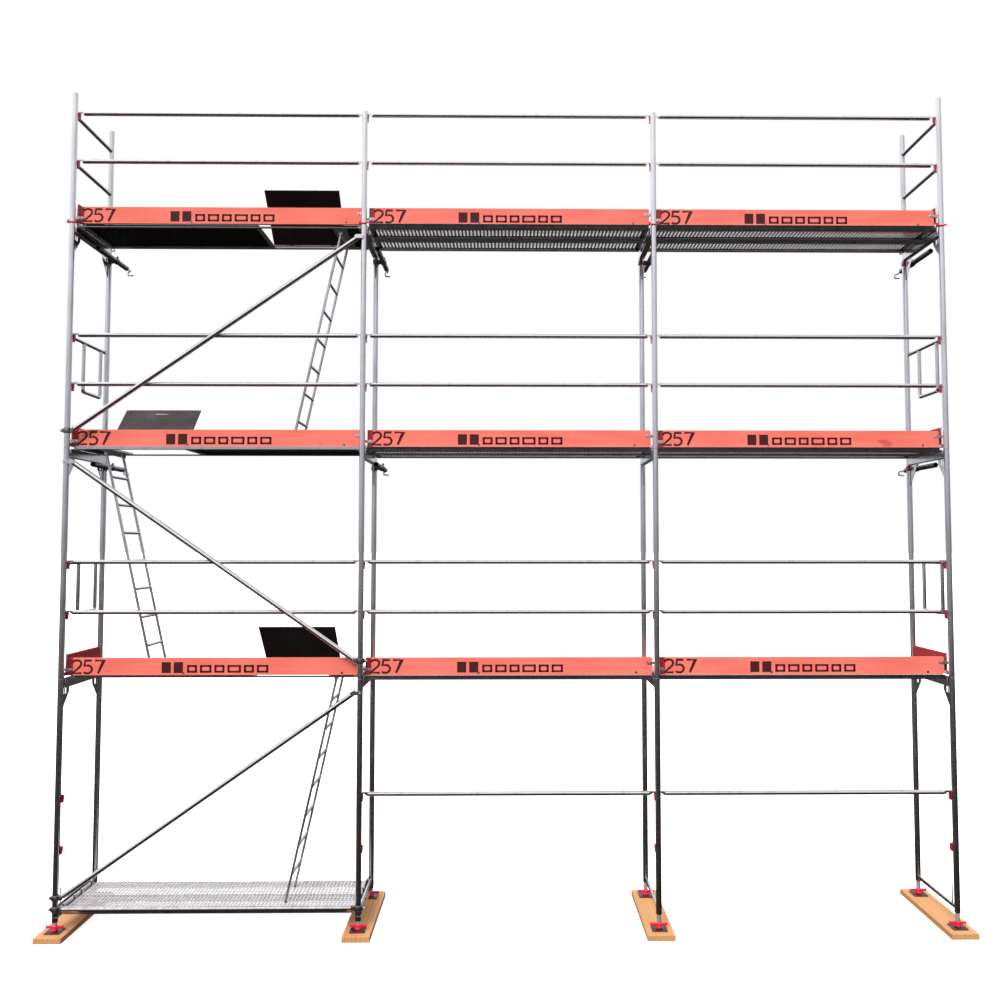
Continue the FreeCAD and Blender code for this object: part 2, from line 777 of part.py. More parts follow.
def tie_coupler(line, level):
    """A right-angle coupler that holds a tie tube against the back standard."""
    x = LINES[line]
    z = JOINTS[level] - TIE_DROP
    tie_x = x + TIE_ASIDE
    upright = tube(STANDARD_R + 6, STANDARD_R + 0.15, vec(x, BACK, z - 24), vec(x, BACK, z + 24))
    along = tube(
        STANDARD_R + 6,
        STANDARD_R + 0.15,
        vec(tie_x, BACK - 24, z),
        vec(tie_x, BACK + 24, z),
    )
    block = box(x + 22, tie_x - 22, BACK - 20, BACK + 20, z - 20, z + 20)
    block = block.cut(rod(STANDARD_R + 1, vec(x, BACK, z - 40), vec(x, BACK, z + 40)))
    block = block.cut(rod(STANDARD_R + 1, vec(tie_x, BACK - 40, z), vec(tie_x, BACK + 40, z)))
    bolt = rod(7, vec(x - 14, BACK - 38, z), vec(x - 14, BACK - 28.5, z))
    lug = box(x - 26, x - 2, BACK - 38, BACK - 22, z - 12, z + 12)
    lug = lug.cut(rod(STANDARD_R + 1, vec(x, BACK, z - 40), vec(x, BACK, z + 40)))
    top_bolt = rod(7, vec(tie_x + 12, BACK, z + 28), vec(tie_x + 12, BACK, z + 46))
    clamp = upright.fuse([along, block, bolt, lug, top_bolt])
    half = GUSSET_THICK / 2 + 0.3
    return [clamp.cut(box(x - half, x + half, BACK - 60, BACK, z - 60, z + 60))]


def main():
    os.makedirs("parts", exist_ok=True)
    save("sole_boards", [sole_board(x) for x in LINES])

    jacks = []
    for number, x in enumerate(LINES):
        for place, y in (("front", FRONT), ("back", BACK)):
            jacks += jack(x, y)
            save("wing_nut_" + str(number + 1) + "_" + place, [wing_nut(x, y)])
    save("base_jacks", jacks)
    save("base_transoms", base_transom(LINES[0]) + base_transom(LINES[1]))
    save("base_ledger", base_ledger())

    for number, x in enumerate(LINES):
        for lift in range(3):
            name = "frame_line_" + str(number + 1) + "_lift_" + str(lift + 1)
            save(name, frame(x, JOINTS[lift]))
    save("guard_end_frames", end_frame(LINES[0]) + end_frame(LINES[3]))
    save("guard_posts", guard_post(LINES[1]) + guard_post(LINES[2]))
    pins = [locking_pin(x, FRONT) for x in LINES]
    pins += [mirror_y(locking_pin(x, FRONT)) for x in (LINES[0], LINES[3])]
    save("locking_pins", pins)

    boxes = []
    for level in range(4):
        boxes += rail_boxes(level)
        save("rail_wedges_" + str(level), wedges(level))
    save("rail_boxes", boxes)

    base_rails = []
    for bay in (1, 2):
        base_rails.append(guardrail(LINES[bay], LINES[bay + 1], JOINTS[0] + BOX_UP[1]))
    save("guardrails_base", base_rails)
    fittings = []
    ends = []
    for level in (1, 2, 3):
        rails = []
        boards = []
        for bay in range(3):
            left = LINES[bay]
            right = LINES[bay + 1]
            rails += [guardrail(left, right, JOINTS[level] + up) for up in BOX_UP]
            boards.append(toeboard(bay, JOINTS[level]))
            low = JOINTS[level] + FITTING_LEFT_UP
            fittings.append(toeboard_fitting(left, 1, TOE_LEFT_GAPS[bay], low))
            low = JOINTS[level] + FITTING_RIGHT_UP
            fittings.append(toeboard_fitting(right, -1, TOE_RIGHT_GAP, low))
        save("guardrails_level_" + str(level), rails)
        save("toeboards_level_" + str(level), boards)
        ends += [end_toeboard(x, JOINTS[level]) for x in (LINES[0], LINES[3])]
    save("toeboard_fittings", fittings)
    save("end_toeboards", ends)
    loops = []
    for level in (1, 2):
        loops += end_guardrail(LINES[0], -1, JOINTS[level])
        loops += end_guardrail(LINES[3], 1, JOINTS[level])
    save("end_guardrails", loops)

    save("steel_planks_base", plank_pair(0, JOINTS[0], BASE_DECK_UP, BASE + 66))
    all_panels = []
    for level in (1, 2, 3):
        planks = []
        for bay in (1, 2):
            planks += plank_pair(bay, JOINTS[level], DECK_UP, JOINTS[level] - CHANNEL_DROP)
        save("steel_planks_level_" + str(level), planks)
        members, panels, lid, ladder = access_deck(level)
        save("access_deck_" + str(level), members)
        all_panels += panels
        save("hatch_lid_" + str(level), lid)
        save("ladder_" + str(level), ladder)
    save("access_panels", all_panels)

    zigzag = [(True, 0), (False, 1), (True, 2)]
    save("diagonal_braces", [brace(left, lift) for left, lift in zigzag])
    save("wall_ties", [wall_tie(line, level) for line, level in TIE_SPOTS])
    couplers = []
    for left, lift in zigzag:
        couplers += brace_ends(left, lift)
    for line, level in TIE_SPOTS:
        couplers += tie_coupler(line, level)
    save("couplers", couplers)


main()
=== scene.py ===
"""Looks of a facade frame scaffold section: three bays, three lifts, decks, guards, ladders and ties.

The shapes are worked out in millimetres in the frame of the CAD model and scaled to metres.
Every piece stands for one node of that model and moves with its body.
"""

import json
import math

import bmesh
import bpy
import numpy as np
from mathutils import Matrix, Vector
from mathutils.geometry import tessellate_polygon


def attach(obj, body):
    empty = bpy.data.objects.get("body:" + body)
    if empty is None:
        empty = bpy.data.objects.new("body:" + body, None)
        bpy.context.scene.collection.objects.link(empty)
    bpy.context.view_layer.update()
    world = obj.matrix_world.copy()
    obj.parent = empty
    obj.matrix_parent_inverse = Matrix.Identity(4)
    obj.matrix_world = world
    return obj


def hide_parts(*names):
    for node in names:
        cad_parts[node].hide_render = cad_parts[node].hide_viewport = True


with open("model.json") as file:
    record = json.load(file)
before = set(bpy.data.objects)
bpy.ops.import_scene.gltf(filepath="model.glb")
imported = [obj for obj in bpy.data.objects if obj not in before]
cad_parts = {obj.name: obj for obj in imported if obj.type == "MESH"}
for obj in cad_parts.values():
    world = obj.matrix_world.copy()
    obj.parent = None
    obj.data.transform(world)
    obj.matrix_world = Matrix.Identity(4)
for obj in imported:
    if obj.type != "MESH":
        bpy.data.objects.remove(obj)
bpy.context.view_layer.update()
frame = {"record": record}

# Layout, in millimetres
BAY = 2572.0
DEPTH = 732.0
LIFT = 2000.0
FRONT = -468.0
BACK = FRONT + DEPTH
MIDDLE = (FRONT + BACK) / 2
LINES = [-1.5 * BAY, -0.5 * BAY, 0.5 * BAY, 1.5 * BAY]
BASE = 174.0
JOINTS = [BASE + LIFT * n for n in range(4)]
BOX_UP = [571.0, 1007.0]
LEDGER_Z = 234.0
TRANSOM_DROP = 78.0
TUBE_R = 24.15
TUBE_BORE = 20.95
RAIL_R = 19.0
RAIL_OUT = 45.0
LOOP_R = 16.5
LEFT_LOOP = [308.0, 643.0]
RIGHT_LOOP = [168.0, 515.0]
BRACE_R = 21.2
DECK_UP = 22.0
DECK_GAP = 34.0
PLANK_WIDE = 320.0
PLANK_THICK = 43.0
PLANK_STARTS = [44.0, 372.0]
END_STRIP = 30
SIDE_STRIP = 8
ACCESS_THICK = 25.0
ACCESS_NEAR = 104.0
ACCESS_FAR = 692.0
TURN_ASIDE = 10.0
HATCH_LONG = 685.0
TOE_OUT = 75.0
TOE_HIGH = 150.0
TOE_PIN_OUT = 83.0
TOE_LEFT_GAPS = [15.0, 33.0, 33.0]
TIE_ASIDE = 70.0
TIE_DROP = 109.0
TIE_NEAR = 345.0
TIE_FAR = 965.0
HOOK_FAR = 1062.0
FLOOR_REACH = 400
TIE_SPOTS = [(0, 3), (1, 3), (2, 3), (3, 3), (0, 2), (1, 2), (3, 2)]
LID_OPENS = [48.5, 46.0, 46.0]
LADDER_LEANS = [12.4, 12.9, 12.2]
LADDER_PIVOTS = [240.0, 252.0, 240.0]
HATCH_STARTS = [273.0, 308.0, 273.0]


# ---------------------------------------------------------------- mesh building


def unit(v):
    return np.asarray(v, float) / np.linalg.norm(v)


def across(direction):
    """Two unit vectors square to a direction."""
    d = unit(direction)
    seed = np.array([0.0, 0.0, 1.0]) if abs(d[2]) < 0.9 else np.array([1.0, 0.0, 0.0])
    u = unit(np.cross(seed, d))
    return u, np.cross(d, u)


def turn(axis, degrees, about):
    """The matrix of a rotation about a line through a point."""
    k = unit(axis)
    a = math.radians(degrees)
    cross = np.array([[0, -k[2], k[1]], [k[2], 0, -k[0]], [-k[1], k[0], 0]])
    m = np.eye(4)
    m[:3, :3] = np.eye(3) + math.sin(a) * cross + (1 - math.cos(a)) * cross @ cross
    m[:3, 3] = np.asarray(about) - m[:3, :3] @ np.asarray(about)
    return m


def flip_y():
    """The matrix that mirrors the front of a frame to its back."""
    m = np.diag([1.0, -1.0, 1.0, 1.0])
    m[1, 3] = 2 * MIDDLE
    return m


class Shape:
    """Faces under construction, in millimetres, each with a material name."""

    def __init__(self):
        self.parts = []

    def add(self, points, faces, material):
        corners = np.concatenate([np.asarray(f, int) for f in faces])
        counts = np.array([len(f) for f in faces])
        self.parts.append((np.asarray(points, float), corners, counts, material))
        return self

    def join(self, other, matrix=None):
        for points, corners, counts, material in other.parts:
            if matrix is not None:
                points = points @ matrix[:3, :3].T + matrix[:3, 3]
            self.parts.append((points, corners, counts, material))
        return self

    def mesh(self, name):
        names = sorted({part[3] for part in self.parts})
        points = np.concatenate([part[0] for part in self.parts]) * 0.001
        starts = np.cumsum([0] + [len(part[0]) for part in self.parts])
        corners = np.concatenate([part[1] + at for part, at in zip(self.parts, starts)])
        counts = np.concatenate([part[2] for part in self.parts])
        slots = np.concatenate([np.full(len(p[2]), names.index(p[3])) for p in self.parts])
        mesh = bpy.data.meshes.new(name)
        mesh.vertices.add(len(points))
        mesh.vertices.foreach_set("co", points.ravel())
        mesh.loops.add(len(corners))
        mesh.loops.foreach_set("vertex_index", corners)
        mesh.polygons.add(len(counts))
        mesh.polygons.foreach_set("loop_start", np.cumsum(counts) - counts)
        mesh.polygons.foreach_set("material_index", slots)
        mesh.update(calc_edges=True)
        for slot_name in names:
            mesh.materials.append(MATERIALS[slot_name])
        work = bmesh.new()
        work.from_mesh(mesh)
        bmesh.ops.recalc_face_normals(work, faces=work.faces)
        work.to_mesh(mesh)
        work.free()
        mesh.polygons.foreach_set("use_smooth", np.ones(len(counts), bool))
        mesh.set_sharp_from_angle(angle=math.radians(38))
        return mesh


def rings(shape, loops, material, closed_along=False, caps=True):
    """Skins a row of closed loops that have the same number of points."""
    count = len(loops[0])
    rows = len(loops)
    faces = []
    for row in range(rows if closed_along else rows - 1):
        low = row * count
        high = (row + 1) % rows * count
        for i in range(count):
            j = (i + 1) % count
            faces.append((low + i, low + j, high + j, high + i))
    if caps and not closed_along:
        faces.append(tuple(range(count))[::-1])
        faces.append(tuple(range((rows - 1) * count, rows * count)))
    shape.add(np.concatenate(loops), faces, material)


def circle(centre, u, v, radius, sides):
    angles = np.arange(sides) * 2 * math.pi / sides
    return centre + radius * (np.outer(np.cos(angles), u) + np.outer(np.sin(angles), v))


def lathe(shape, start, end, profile, material, sides=28, ring=False):
    """Turns a profile of (distance from start, radius) about the line from start to end."""
    start = np.asarray(start, float)
    d = unit(np.asarray(end, float) - start)
    u, v = across(d)
    loops = [circle(start + d * along, u, v, radius, sides) for along, radius in profile]
    rings(shape, loops, material, closed_along=ring)


def rod(shape, start, end, radius, material, sides=28, edge=0.8):
    long = float(np.linalg.norm(np.subtract(end, start)))
    edge = min(edge, radius / 3, long / 3)
    profile = [(0, radius - edge), (edge, radius), (long - edge, radius), (long, radius - edge)]
    lathe(shape, start, end, profile, material, sides)


def tube(shape, start, end, radius, bore, material, sides=28, edge=0.8):
    long = float(np.linalg.norm(np.subtract(end, start)))
    profile = [
        (0, bore),
        (0, radius - edge),
        (edge, radius),
        (long - edge, radius),
        (long, radius - edge),
        (long, bore),
    ]
    lathe(shape, start, end, profile, material, sides, ring=True)


def box(shape, x0, x1, y0, y1, z0, z1, material, edge=1.0):
    """A block with narrow bevels along its edges."""
    low = np.minimum([x0, y0, z0], [x1, y1, z1]).astype(float)
    high = np.maximum([x0, y0, z0], [x1, y1, z1]).astype(float)
    edge = min(edge, float((high - low).min()) / 3)
    points = []
    for corner in np.ndindex(2, 2, 2):
        for axis in range(3):
            inset = np.where(np.arange(3) == axis, 0, edge)
            points.append(np.where(corner, high - inset, low + inset))

    def number(axis, along, pair, facing):
        x, y, z = pair[:axis] + (along,) + pair[axis:]
        return 3 * (4 * x + 2 * y + z) + facing

    square = ((0, 0), (1, 0), (1, 1), (0, 1))
    faces = []
    for axis in range(3):
        a, b = [k for k in range(3) if k != axis]
        for side in (0, 1):
            faces.append([number(axis, side, pair, axis) for pair in square])
        for pair in square:
            ends = ((0, a), (0, b), (1, b), (1, a))
            faces.append([number(axis, along, pair, facing) for along, facing in ends])
    faces += [[3 * corner, 3 * corner + 1, 3 * corner + 2] for corner in range(8)]
    shape.add(points, faces, material)


def facing_x(x, pairs):
    """Points (y, z) set in a plane square to X."""
    return [(x, y, z) for y, z in pairs]


def facing_y(y, pairs):
    """Points (x, z) set in a plane square to Y."""
    return [(x, y, z) for x, z in pairs]


def plate(shape, outline, push, material):
    """A flat outline of 3-D points pushed out along a vector."""
    front = np.asarray(outline, float)
    back = front + np.asarray(push, float)
    count = len(front)
    caps = tessellate_polygon([[Vector(p) for p in front]])
    faces = [list(t) for t in caps] + [[i + count for i in t] for t in caps]
    faces += [[i, (i + 1) % count, (i + 1) % count + count, i + count] for i in range(count)]
    shape.add(np.concatenate([front, back]), faces, material)


def rounded(points, radius, steps=5):
    """A path with its inner corners rounded off."""
    points = [np.asarray(p, float) for p in points]
    path = [points[0]]
    for before, corner, after in zip(points, points[1:], points[2:]):
        a = unit(before - corner)
        b = unit(after - corner)
        half = math.acos(float(np.clip(a @ b, -1, 1))) / 2
        reach = radius / math.tan(half)
        centre = corner + unit(a + b) * radius / math.sin(half)
        first = corner + a * reach - centre
        last = corner + b * reach - centre
        for t in np.linspace(0, 1, steps + 1):
            path.append(centre + unit(first * (1 - t) + last * t) * radius)
    return path + [points[-1]]


def pipe(shape, path, radii, material, sides=14):
    """A round bar that follows a path, of one radius or of one for each point."""
    path = [np.asarray(p, float) for p in path]
    radii = np.broadcast_to(radii, len(path))
    u = across(path[1] - path[0])[0]
    loops = []
    for i, p in enumerate(path):
        d = unit(path[min(i + 1, len(path) - 1)] - path[max(i - 1, 0)])
        u = unit(u - d * (u @ d))
        loops.append(circle(p, u, np.cross(d, u), radii[i], sides))
    rings(shape, loops, material)


def bead(shape, path, material, radius=2.6):
    """A weld bead laid along a path, a little uneven from drop to drop."""
    path = [np.asarray(p, float) for p in path]
    fine = [path[0]]
    for a, b in zip(path, path[1:]):
        count = max(1, int(np.linalg.norm(b - a) / 4))
        fine += [a + (b - a) * k / count for k in range(1, count + 1)]
    swells = [radius * (0.86 + 0.14 * math.sin(i * 2.4)) for i in range(len(fine))]
    pipe(shape, fine, swells, material, 8)


def ring_bead(shape, centre, radius, material, start=0.0, end=360.0, axis=(0, 0, 1)):
    """A weld bead round a tube."""
    u, v = across(axis)
    path = []
    for a in np.radians(np.linspace(start, end, 25)):
        path.append(np.asarray(centre) + radius * (math.cos(a) * u + math.sin(a) * v))
    bead(shape, path, material, 2.2)


def rivet(shape, x, y, base, profile):
    """A low round head on a face that looks up."""
    lathe(shape, (x, y, base), (x, y, base + 1), profile, "zinc", 12)


def hexagon(shape, start, end, radius, material):
    """A hexagon nut or bolt head with its corners turned down."""
    long = float(np.linalg.norm(np.subtract(end, start)))
    profile = [(0, radius * 0.9), (1, radius), (long - 1, radius), (long, radius * 0.88)]
    lathe(shape, start, end, profile, material, sides=6)


# ---------------------------------------------------------------- materials


class Nodes:
    """Short ways to add nodes to one node tree."""

    def __init__(self, tree):
        self.nodes = tree.nodes
        self.links = tree.links

    def feed(self, socket, value):
        if isinstance(value, bpy.types.NodeSocket):
            self.links.new(value, socket)
        else:
            socket.default_value = value

    def node(self, kind, inputs, output, **settings):
        """Adds a node, makes its settings, feeds its inputs and gives back one output."""
        node = self.nodes.new("ShaderNode" + kind)
        for name, value in settings.items():
            setattr(node, name, value)
        for name, value in inputs.items():
            self.feed(node.inputs[name], value)
        return node.outputs[output]

    def spread(self, value, low, high, out_low=0.0, out_high=1.0):
        ends = {"From Min": low, "From Max": high, "To Min": out_low, "To Max": out_high}
        return self.node("MapRange", {"Value": value, **ends}, "Result")

    def maths(self, kind, a, b):
        return self.node("Math", {0: a, 1: b}, 0, operation=kind)

    def mix(self, factor, a, b):
        a, b = [c if isinstance(c, bpy.types.NodeSocket) else (*c, 1.0) for c in (a, b)]
        return self.node("Mix", {"Factor": factor, "A": a, "B": b}, "Result", data_type="RGBA")


class Look(Nodes):
    """A procedural material built round one principled shader."""

    def __init__(self, name, metallic=0.0, roughness=0.5, specular=0.5):
        self.material = bpy.data.materials.new(name)
        self.material.use_nodes = True
        super().__init__(self.material.node_tree)
        self.shader = self.nodes["Principled BSDF"]
        self.shader.inputs["Metallic"].default_value = metallic
        self.shader.inputs["Roughness"].default_value = roughness
        self.shader.inputs["Specular IOR Level"].default_value = specular
        self.place = self.nodes.new("ShaderNodeTexCoord").outputs["Object"]

    def stretched(self, scale):
        if not scale:
            return self.place
        return self.node("Mapping", {"Scale": scale, "Vector": self.place}, "Vector")

    def noise(self, scale, detail=3.0, stretch=None, distortion=0.0):
        inputs = {"Scale": scale, "Detail": detail, "Distortion": distortion}
        return self.node("TexNoise", {**inputs, "Vector": self.stretched(stretch)}, "Fac")

    def cells(self, scale):
        colour = self.node("TexVoronoi", {"Scale": scale, "Vector": self.place}, "Color")
        return self.node("SeparateColor", {"Color": colour}, "Red")

    def wave(self, scale, stretch, distortion, detail=2.0):
        inputs = {"Scale": scale, "Distortion": distortion, "Detail": detail}
        return self.node("TexWave", {**inputs, "Vector": self.stretched(stretch)}, "Fac")

    def axis(self, name):
        return self.node("SeparateXYZ", {"Vector": self.place}, name)

    def colour(self, value):
        self.feed(self.shader.inputs["Base Color"], value)

    def rough(self, value, low, high):
        self.feed(self.shader.inputs["Roughness"], self.spread(value, 0.25, 0.75, low, high))

    def bump(self, value, strength, distance=0.001):
        inputs = {"Strength": strength, "Distance": distance, "Height": value}
        self.feed(self.shader.inputs["Normal"], self.node("Bump", inputs, "Normal"))


def galvanised(name, light, dark, rough_low, rough_high, spangle=0.35, metallic=1.0):
    """Zinc with its spangle, dull patches, run marks and patches that darken toward the floor."""
    look = Look(name, metallic=metallic)
    grain = look.cells(70.0)
    cloud = look.noise(5.0, 5.0)
    runs = look.noise(18.0, 4.0, stretch=(1.0, 1.0, 0.06))
    tone = look.spread(look.maths("ADD", look.maths("MULTIPLY", grain, spangle), cloud), 0.35, 1.0)
    base = look.mix(tone, dark, light)
    dull = look.spread(runs, 0.56, 0.72, 0.0, 0.45)
    base = look.mix(dull, base, tuple(c * 0.62 for c in dark))
    # Patchy darkening toward dark brown, strongest at the floor and gone 0.6 m above it.
    low = look.spread(look.axis("Z"), 0.05, 0.6, 0.55, 0.0)
    floor_darkening = look.maths("MULTIPLY", low, look.spread(look.noise(30.0, 4.0), 0.35, 0.7))
    look.colour(look.mix(floor_darkening, base, (0.16, 0.13, 0.10)))
    look.rough(look.noise(40.0, 4.0), rough_low, rough_high)
    look.bump(look.noise(60.0, 3.0), 0.05, 0.0006)
    return look.material


def painted(name, paint, shade, bare):
    """Gloss paint, a little uneven, chipped to metal in small spots."""
    look = Look(name, roughness=0.35)
    chips = look.spread(look.noise(120.0, 5.0), 0.66, 0.70)
    base = look.mix(look.noise(14.0, 3.0), shade, paint)
    look.colour(look.mix(chips, base, bare))
    look.rough(look.noise(60.0, 3.0), 0.28, 0.48)
    look.bump(look.noise(180.0, 3.0), 0.15, 0.0006)
    return look.material


def timber(name, pale, dark, knot, along, rough_low=0.5, rough_high=0.7, strength=1.0):
    """Sawn wood with its grain along one axis, knots and fine fibres."""
    look = Look(name, specular=0.3)
    stretch = (0.045, 1.0, 1.0) if along == "X" else (1.0, 0.045, 1.0)
    fine = (0.012, 1.0, 1.0) if along == "X" else (1.0, 0.012, 1.0)
    rays = look.wave(9.0, stretch, 7.0, 3.0)
    drift = look.noise(7.0, 4.0, stretch=stretch, distortion=0.6)
    fibre = look.noise(190.0, 3.0, stretch=fine)
    tone = look.maths("MULTIPLY", look.spread(rays, 0.0, 1.0, 0.35, 1.0), drift)
    base = look.mix(look.maths("MULTIPLY", look.spread(tone, 0.15, 0.6), strength), pale, dark)
    base = look.mix(look.spread(fibre, 0.5, 0.75, 0.0, 0.35 * strength), base, dark)
    knots = look.spread(look.noise(9.0, 1.0, stretch=(0.35, 1.0, 1.0)), 0.76, 0.79)
    look.colour(look.mix(look.maths("MULTIPLY", knots, strength), base, knot))
    look.rough(fibre, rough_low, rough_high)
    look.bump(look.maths("ADD", fibre, look.maths("MULTIPLY", rays, 0.4)), 0.35, 0.0008)
    return look.material


def film_ply(name, tone, worn, mesh_print):
    """Film-faced plywood, with a pressed mesh print on the side that is walked on."""
    look = Look(name, specular=0.15)
    wear = look.spread(look.noise(3.5, 5.0), 0.42, 0.75)
    scuffs = look.spread(look.noise(60.0, 4.0, stretch=(0.2, 1.0, 1.0)), 0.55, 0.8, 0.0, 0.6)
    base = look.mix(look.maths("MULTIPLY", wear, 0.6), tone, worn)
    look.colour(look.mix(scuffs, base, worn))
    look.rough(look.noise(30.0, 3.0), 0.45, 0.68)
    if mesh_print:
        a = look.wave(70.0, (1.0, 0.0, 0.0), 0.0)
        b = look.wave(70.0, (0.0, 1.0, 0.0), 0.0)
        look.bump(look.maths("MAXIMUM", a, b), 0.5, 0.0008)
    else:
        look.bump(look.noise(25.0, 4.0, stretch=(0.1, 1.0, 1.0)), 0.2, 0.0008)
    return look.material


def stencil(name, tone, under):
    """Stencil paint with small gaps where it didn't take."""
    look = Look(name, roughness=0.6, specular=0.3)
    gaps = look.spread(look.noise(150.0, 4.0), 0.62, 0.72, 0.0, 0.7)
    look.colour(look.mix(gaps, tone, under))
    look.rough(look.noise(80.0, 2.0), 0.5, 0.7)
    look.bump(look.noise(190.0, 3.0, stretch=(0.02, 1.0, 1.0)), 0.2, 0.0006)
    return look.material


MATERIALS = {
    "steel": galvanised("galvanised_steel", (0.80, 0.79, 0.81), (0.64, 0.63, 0.66), 0.16, 0.24, 0.10),
    "rail": galvanised("galvanised_rail", (0.78, 0.77, 0.78), (0.66, 0.64, 0.66), 0.16, 0.22, 0.05),
    "plank": galvanised("galvanised_sheet", (0.62, 0.62, 0.66), (0.46, 0.46, 0.50), 0.30, 0.44, 0.25),
    "tread": galvanised("sheet_top", (0.66, 0.65, 0.68), (0.52, 0.51, 0.54), 0.35, 0.5, 0.15, 0.3),
    # A pale, barely metallic copy of the aluminium: painted light for the far rail's inner web.
    "lit_rail": galvanised("rail_web_painted_light", (0.80, 0.78, 0.74), (0.66, 0.64, 0.61), 0.4, 0.5, 0.05, 0.1),
    # A darker copy of the aluminium: painted shade for the near deck rail behind the toeboard.
    "dull": galvanised("near_rail_painted_shade", (0.30, 0.30, 0.32), (0.20, 0.20, 0.22), 0.3, 0.45, 0.05),
    "casting": galvanised("forged_coupler", (0.30, 0.30, 0.32), (0.18, 0.18, 0.20), 0.34, 0.5, 0.2),
    "zinc": galvanised("bright_zinc", (0.78, 0.77, 0.75), (0.60, 0.59, 0.57), 0.25, 0.38, 0.1),
    "alloy": galvanised("mill_aluminium", (0.66, 0.66, 0.68), (0.52, 0.52, 0.55), 0.28, 0.42, 0.05),
    "weld": galvanised("weld_zinc", (0.52, 0.52, 0.55), (0.36, 0.36, 0.39), 0.4, 0.55, 0.1),
    "plate": galvanised("dark_base_plate", (0.20, 0.16, 0.19), (0.11, 0.09, 0.11), 0.4, 0.55, 0.2),
    "red": painted("red_gloss", (0.92, 0.002, 0.035), (0.72, 0.003, 0.035), (0.35, 0.33, 0.33)),
    "red_box": painted("red_sleeve_paint", (0.60, 0.006, 0.05), (0.40, 0.006, 0.04), (0.3, 0.28, 0.28)),
    "red_timber": timber(
        "red_stained_board", (0.93, 0.215, 0.165), (0.85, 0.155, 0.115), (0.55, 0.07, 0.05), "X",
        0.45, 0.62, 0.7,
    ),
    # The end boards get a much darker copy of the red board colour: painted shade.
    "end_timber": timber(
        "red_end_board_painted_shade", (0.42, 0.03, 0.035), (0.26, 0.018, 0.022), (0.2, 0.02, 0.02), "Y"
    ),
    "cap": painted("dark_red_end_cap", (0.42, 0.02, 0.03), (0.30, 0.018, 0.025), (0.25, 0.05, 0.05)),
    "mark": stencil("stencil_paint", (0.060, 0.010, 0.012), (0.40, 0.06, 0.05)),
    "pine": timber("sawn_pine", (0.68, 0.355, 0.16), (0.52, 0.23, 0.085), (0.28, 0.12, 0.05), "Y",
                   strength=0.6),
    "ply": film_ply("film_faced_ply", (0.006, 0.004, 0.004), (0.014, 0.011, 0.010), False),
    "lid_ply": film_ply("film_faced_lid", (0.016, 0.010, 0.010), (0.030, 0.022, 0.022), False),
    "grip_ply": film_ply("mesh_print_ply", (0.052, 0.042, 0.046), (0.105, 0.09, 0.092), True),
}


# ---------------------------------------------------------------- ground pieces


def sole_board(x):
    """A timber board laid front to back under one line of standards."""
    s = Shape()
    box(s, x - 118, x + 118, MIDDLE - 500, MIDDLE + 500, 0, 48, "pine", 2.5)
    return s


def jack(x, y):
    """Base plate with rounded corners and two nail heads, and a spindle with its thread."""
    s = Shape()
    corners = []
    for cx, cy, start in ((1, 1, 0), (-1, 1, 90), (-1, -1, 180), (1, -1, 270)):
        for a in np.radians([start, start + 30, start + 60, start + 90]):
            corners.append((x + cx * 57 + 8 * math.cos(a), y + cy * 57 + 8 * math.sin(a)))
    loops = []
    for z, inset in ((48, 0.8), (49, 0), (55, 0), (56, 0.8)):
        loops.append(
            np.array([(x + (px - x) * (1 - inset / 65), y + (py - y) * (1 - inset / 65), z)
                      for px, py in corners])
        )
    rings(s, loops, "plate")
    for side in (-1, 1):
        rod(s, (x + side * 48, y + side * 48, 55), (x + side * 48, y + side * 48, 57.2), 8, "plate", 14)
        hexagon(s, (x + side * 48, y + side * 48, 57), (x + side * 48, y + side * 48, 60), 6, "zinc")
    ring_bead(s, (x, y, 57.5), 20.5, "weld")
    sides = 28
    angles = np.arange(sides) * 2 * math.pi / sides
    loops = []
    for z in np.arange(56, 230, 1.35):
        phase = (z / 8.1 - angles / (2 * math.pi)) % 1.0
        radius = 17.1 + 1.9 * np.clip(1.6 * np.sin(phase * 2 * math.pi), -1, 1) * 0.5 + 0.95
        radius = np.minimum(radius, 19.0)
        loops.append(
            np.stack([x + radius * np.cos(angles), y + radius * np.sin(angles),
                      np.full(sides, z)], axis=1)
        )
    rings(s, loops, "zinc")
    tube(s, (x, y, 228), (x, y, 616), 18.6, 14.5, "zinc", 20)
    return s


def wing_nut(x, y):
    """A cast nut with two thick wings."""
    s = Shape()
    profile = [
        (0, 19.6), (0, 26), (2, 27.5), (7, 27.5), (10, 25), (19, 24), (34, 23.5), (38, 21.5), (39, 19.6)
    ]
    lathe(s, (x, y, 61), (x, y, 100), profile, "red", ring=True)
    for side in (-1, 1):
        loops = []
        for far, thick, low, high in (
            (20, 9.5, 75, 98), (34, 8.5, 77, 98.5), (52, 8.0, 78, 99), (62, 8.5, 77, 100),
            (70, 9.5, 77, 101), (74, 8.0, 80, 100), (75.8, 4.5, 85, 97),
        ):
            middle = (low + high) / 2
            half = (high - low) / 2
            loop = []
            for a in np.radians(np.arange(0, 360, 22.5)):
                ca = math.copysign(abs(math.cos(a)) ** 0.7, math.cos(a))
                sa = math.copysign(abs(math.sin(a)) ** 0.7, math.sin(a))
                loop.append((x + side * far, y + thick * ca, middle + half * sa))
            loops.append(np.array(loop))
        rings(s, loops, "red")
    return s


def channel(s, x, low, high):
    """The upward-open transom: its floor, two walls and the welds at its ends."""
    box(s, x - 26.5, x + 26.5, FRONT + 24.6, BACK - 24.6, low, low + 4, "steel", 1.5)
    for side in (-1, 1):
        box(s, x + side * 26.5, x + side * 22.5, FRONT + 26, BACK - 26, low + 3, high, "steel", 1.2)
        for y in (FRONT, BACK):
            inward = 1 if y == FRONT else -1
            bead(s, [(x + side * 14, y + inward * 21, low), (x + side * 26, y + inward * 25, low + 1)],
                 "weld")


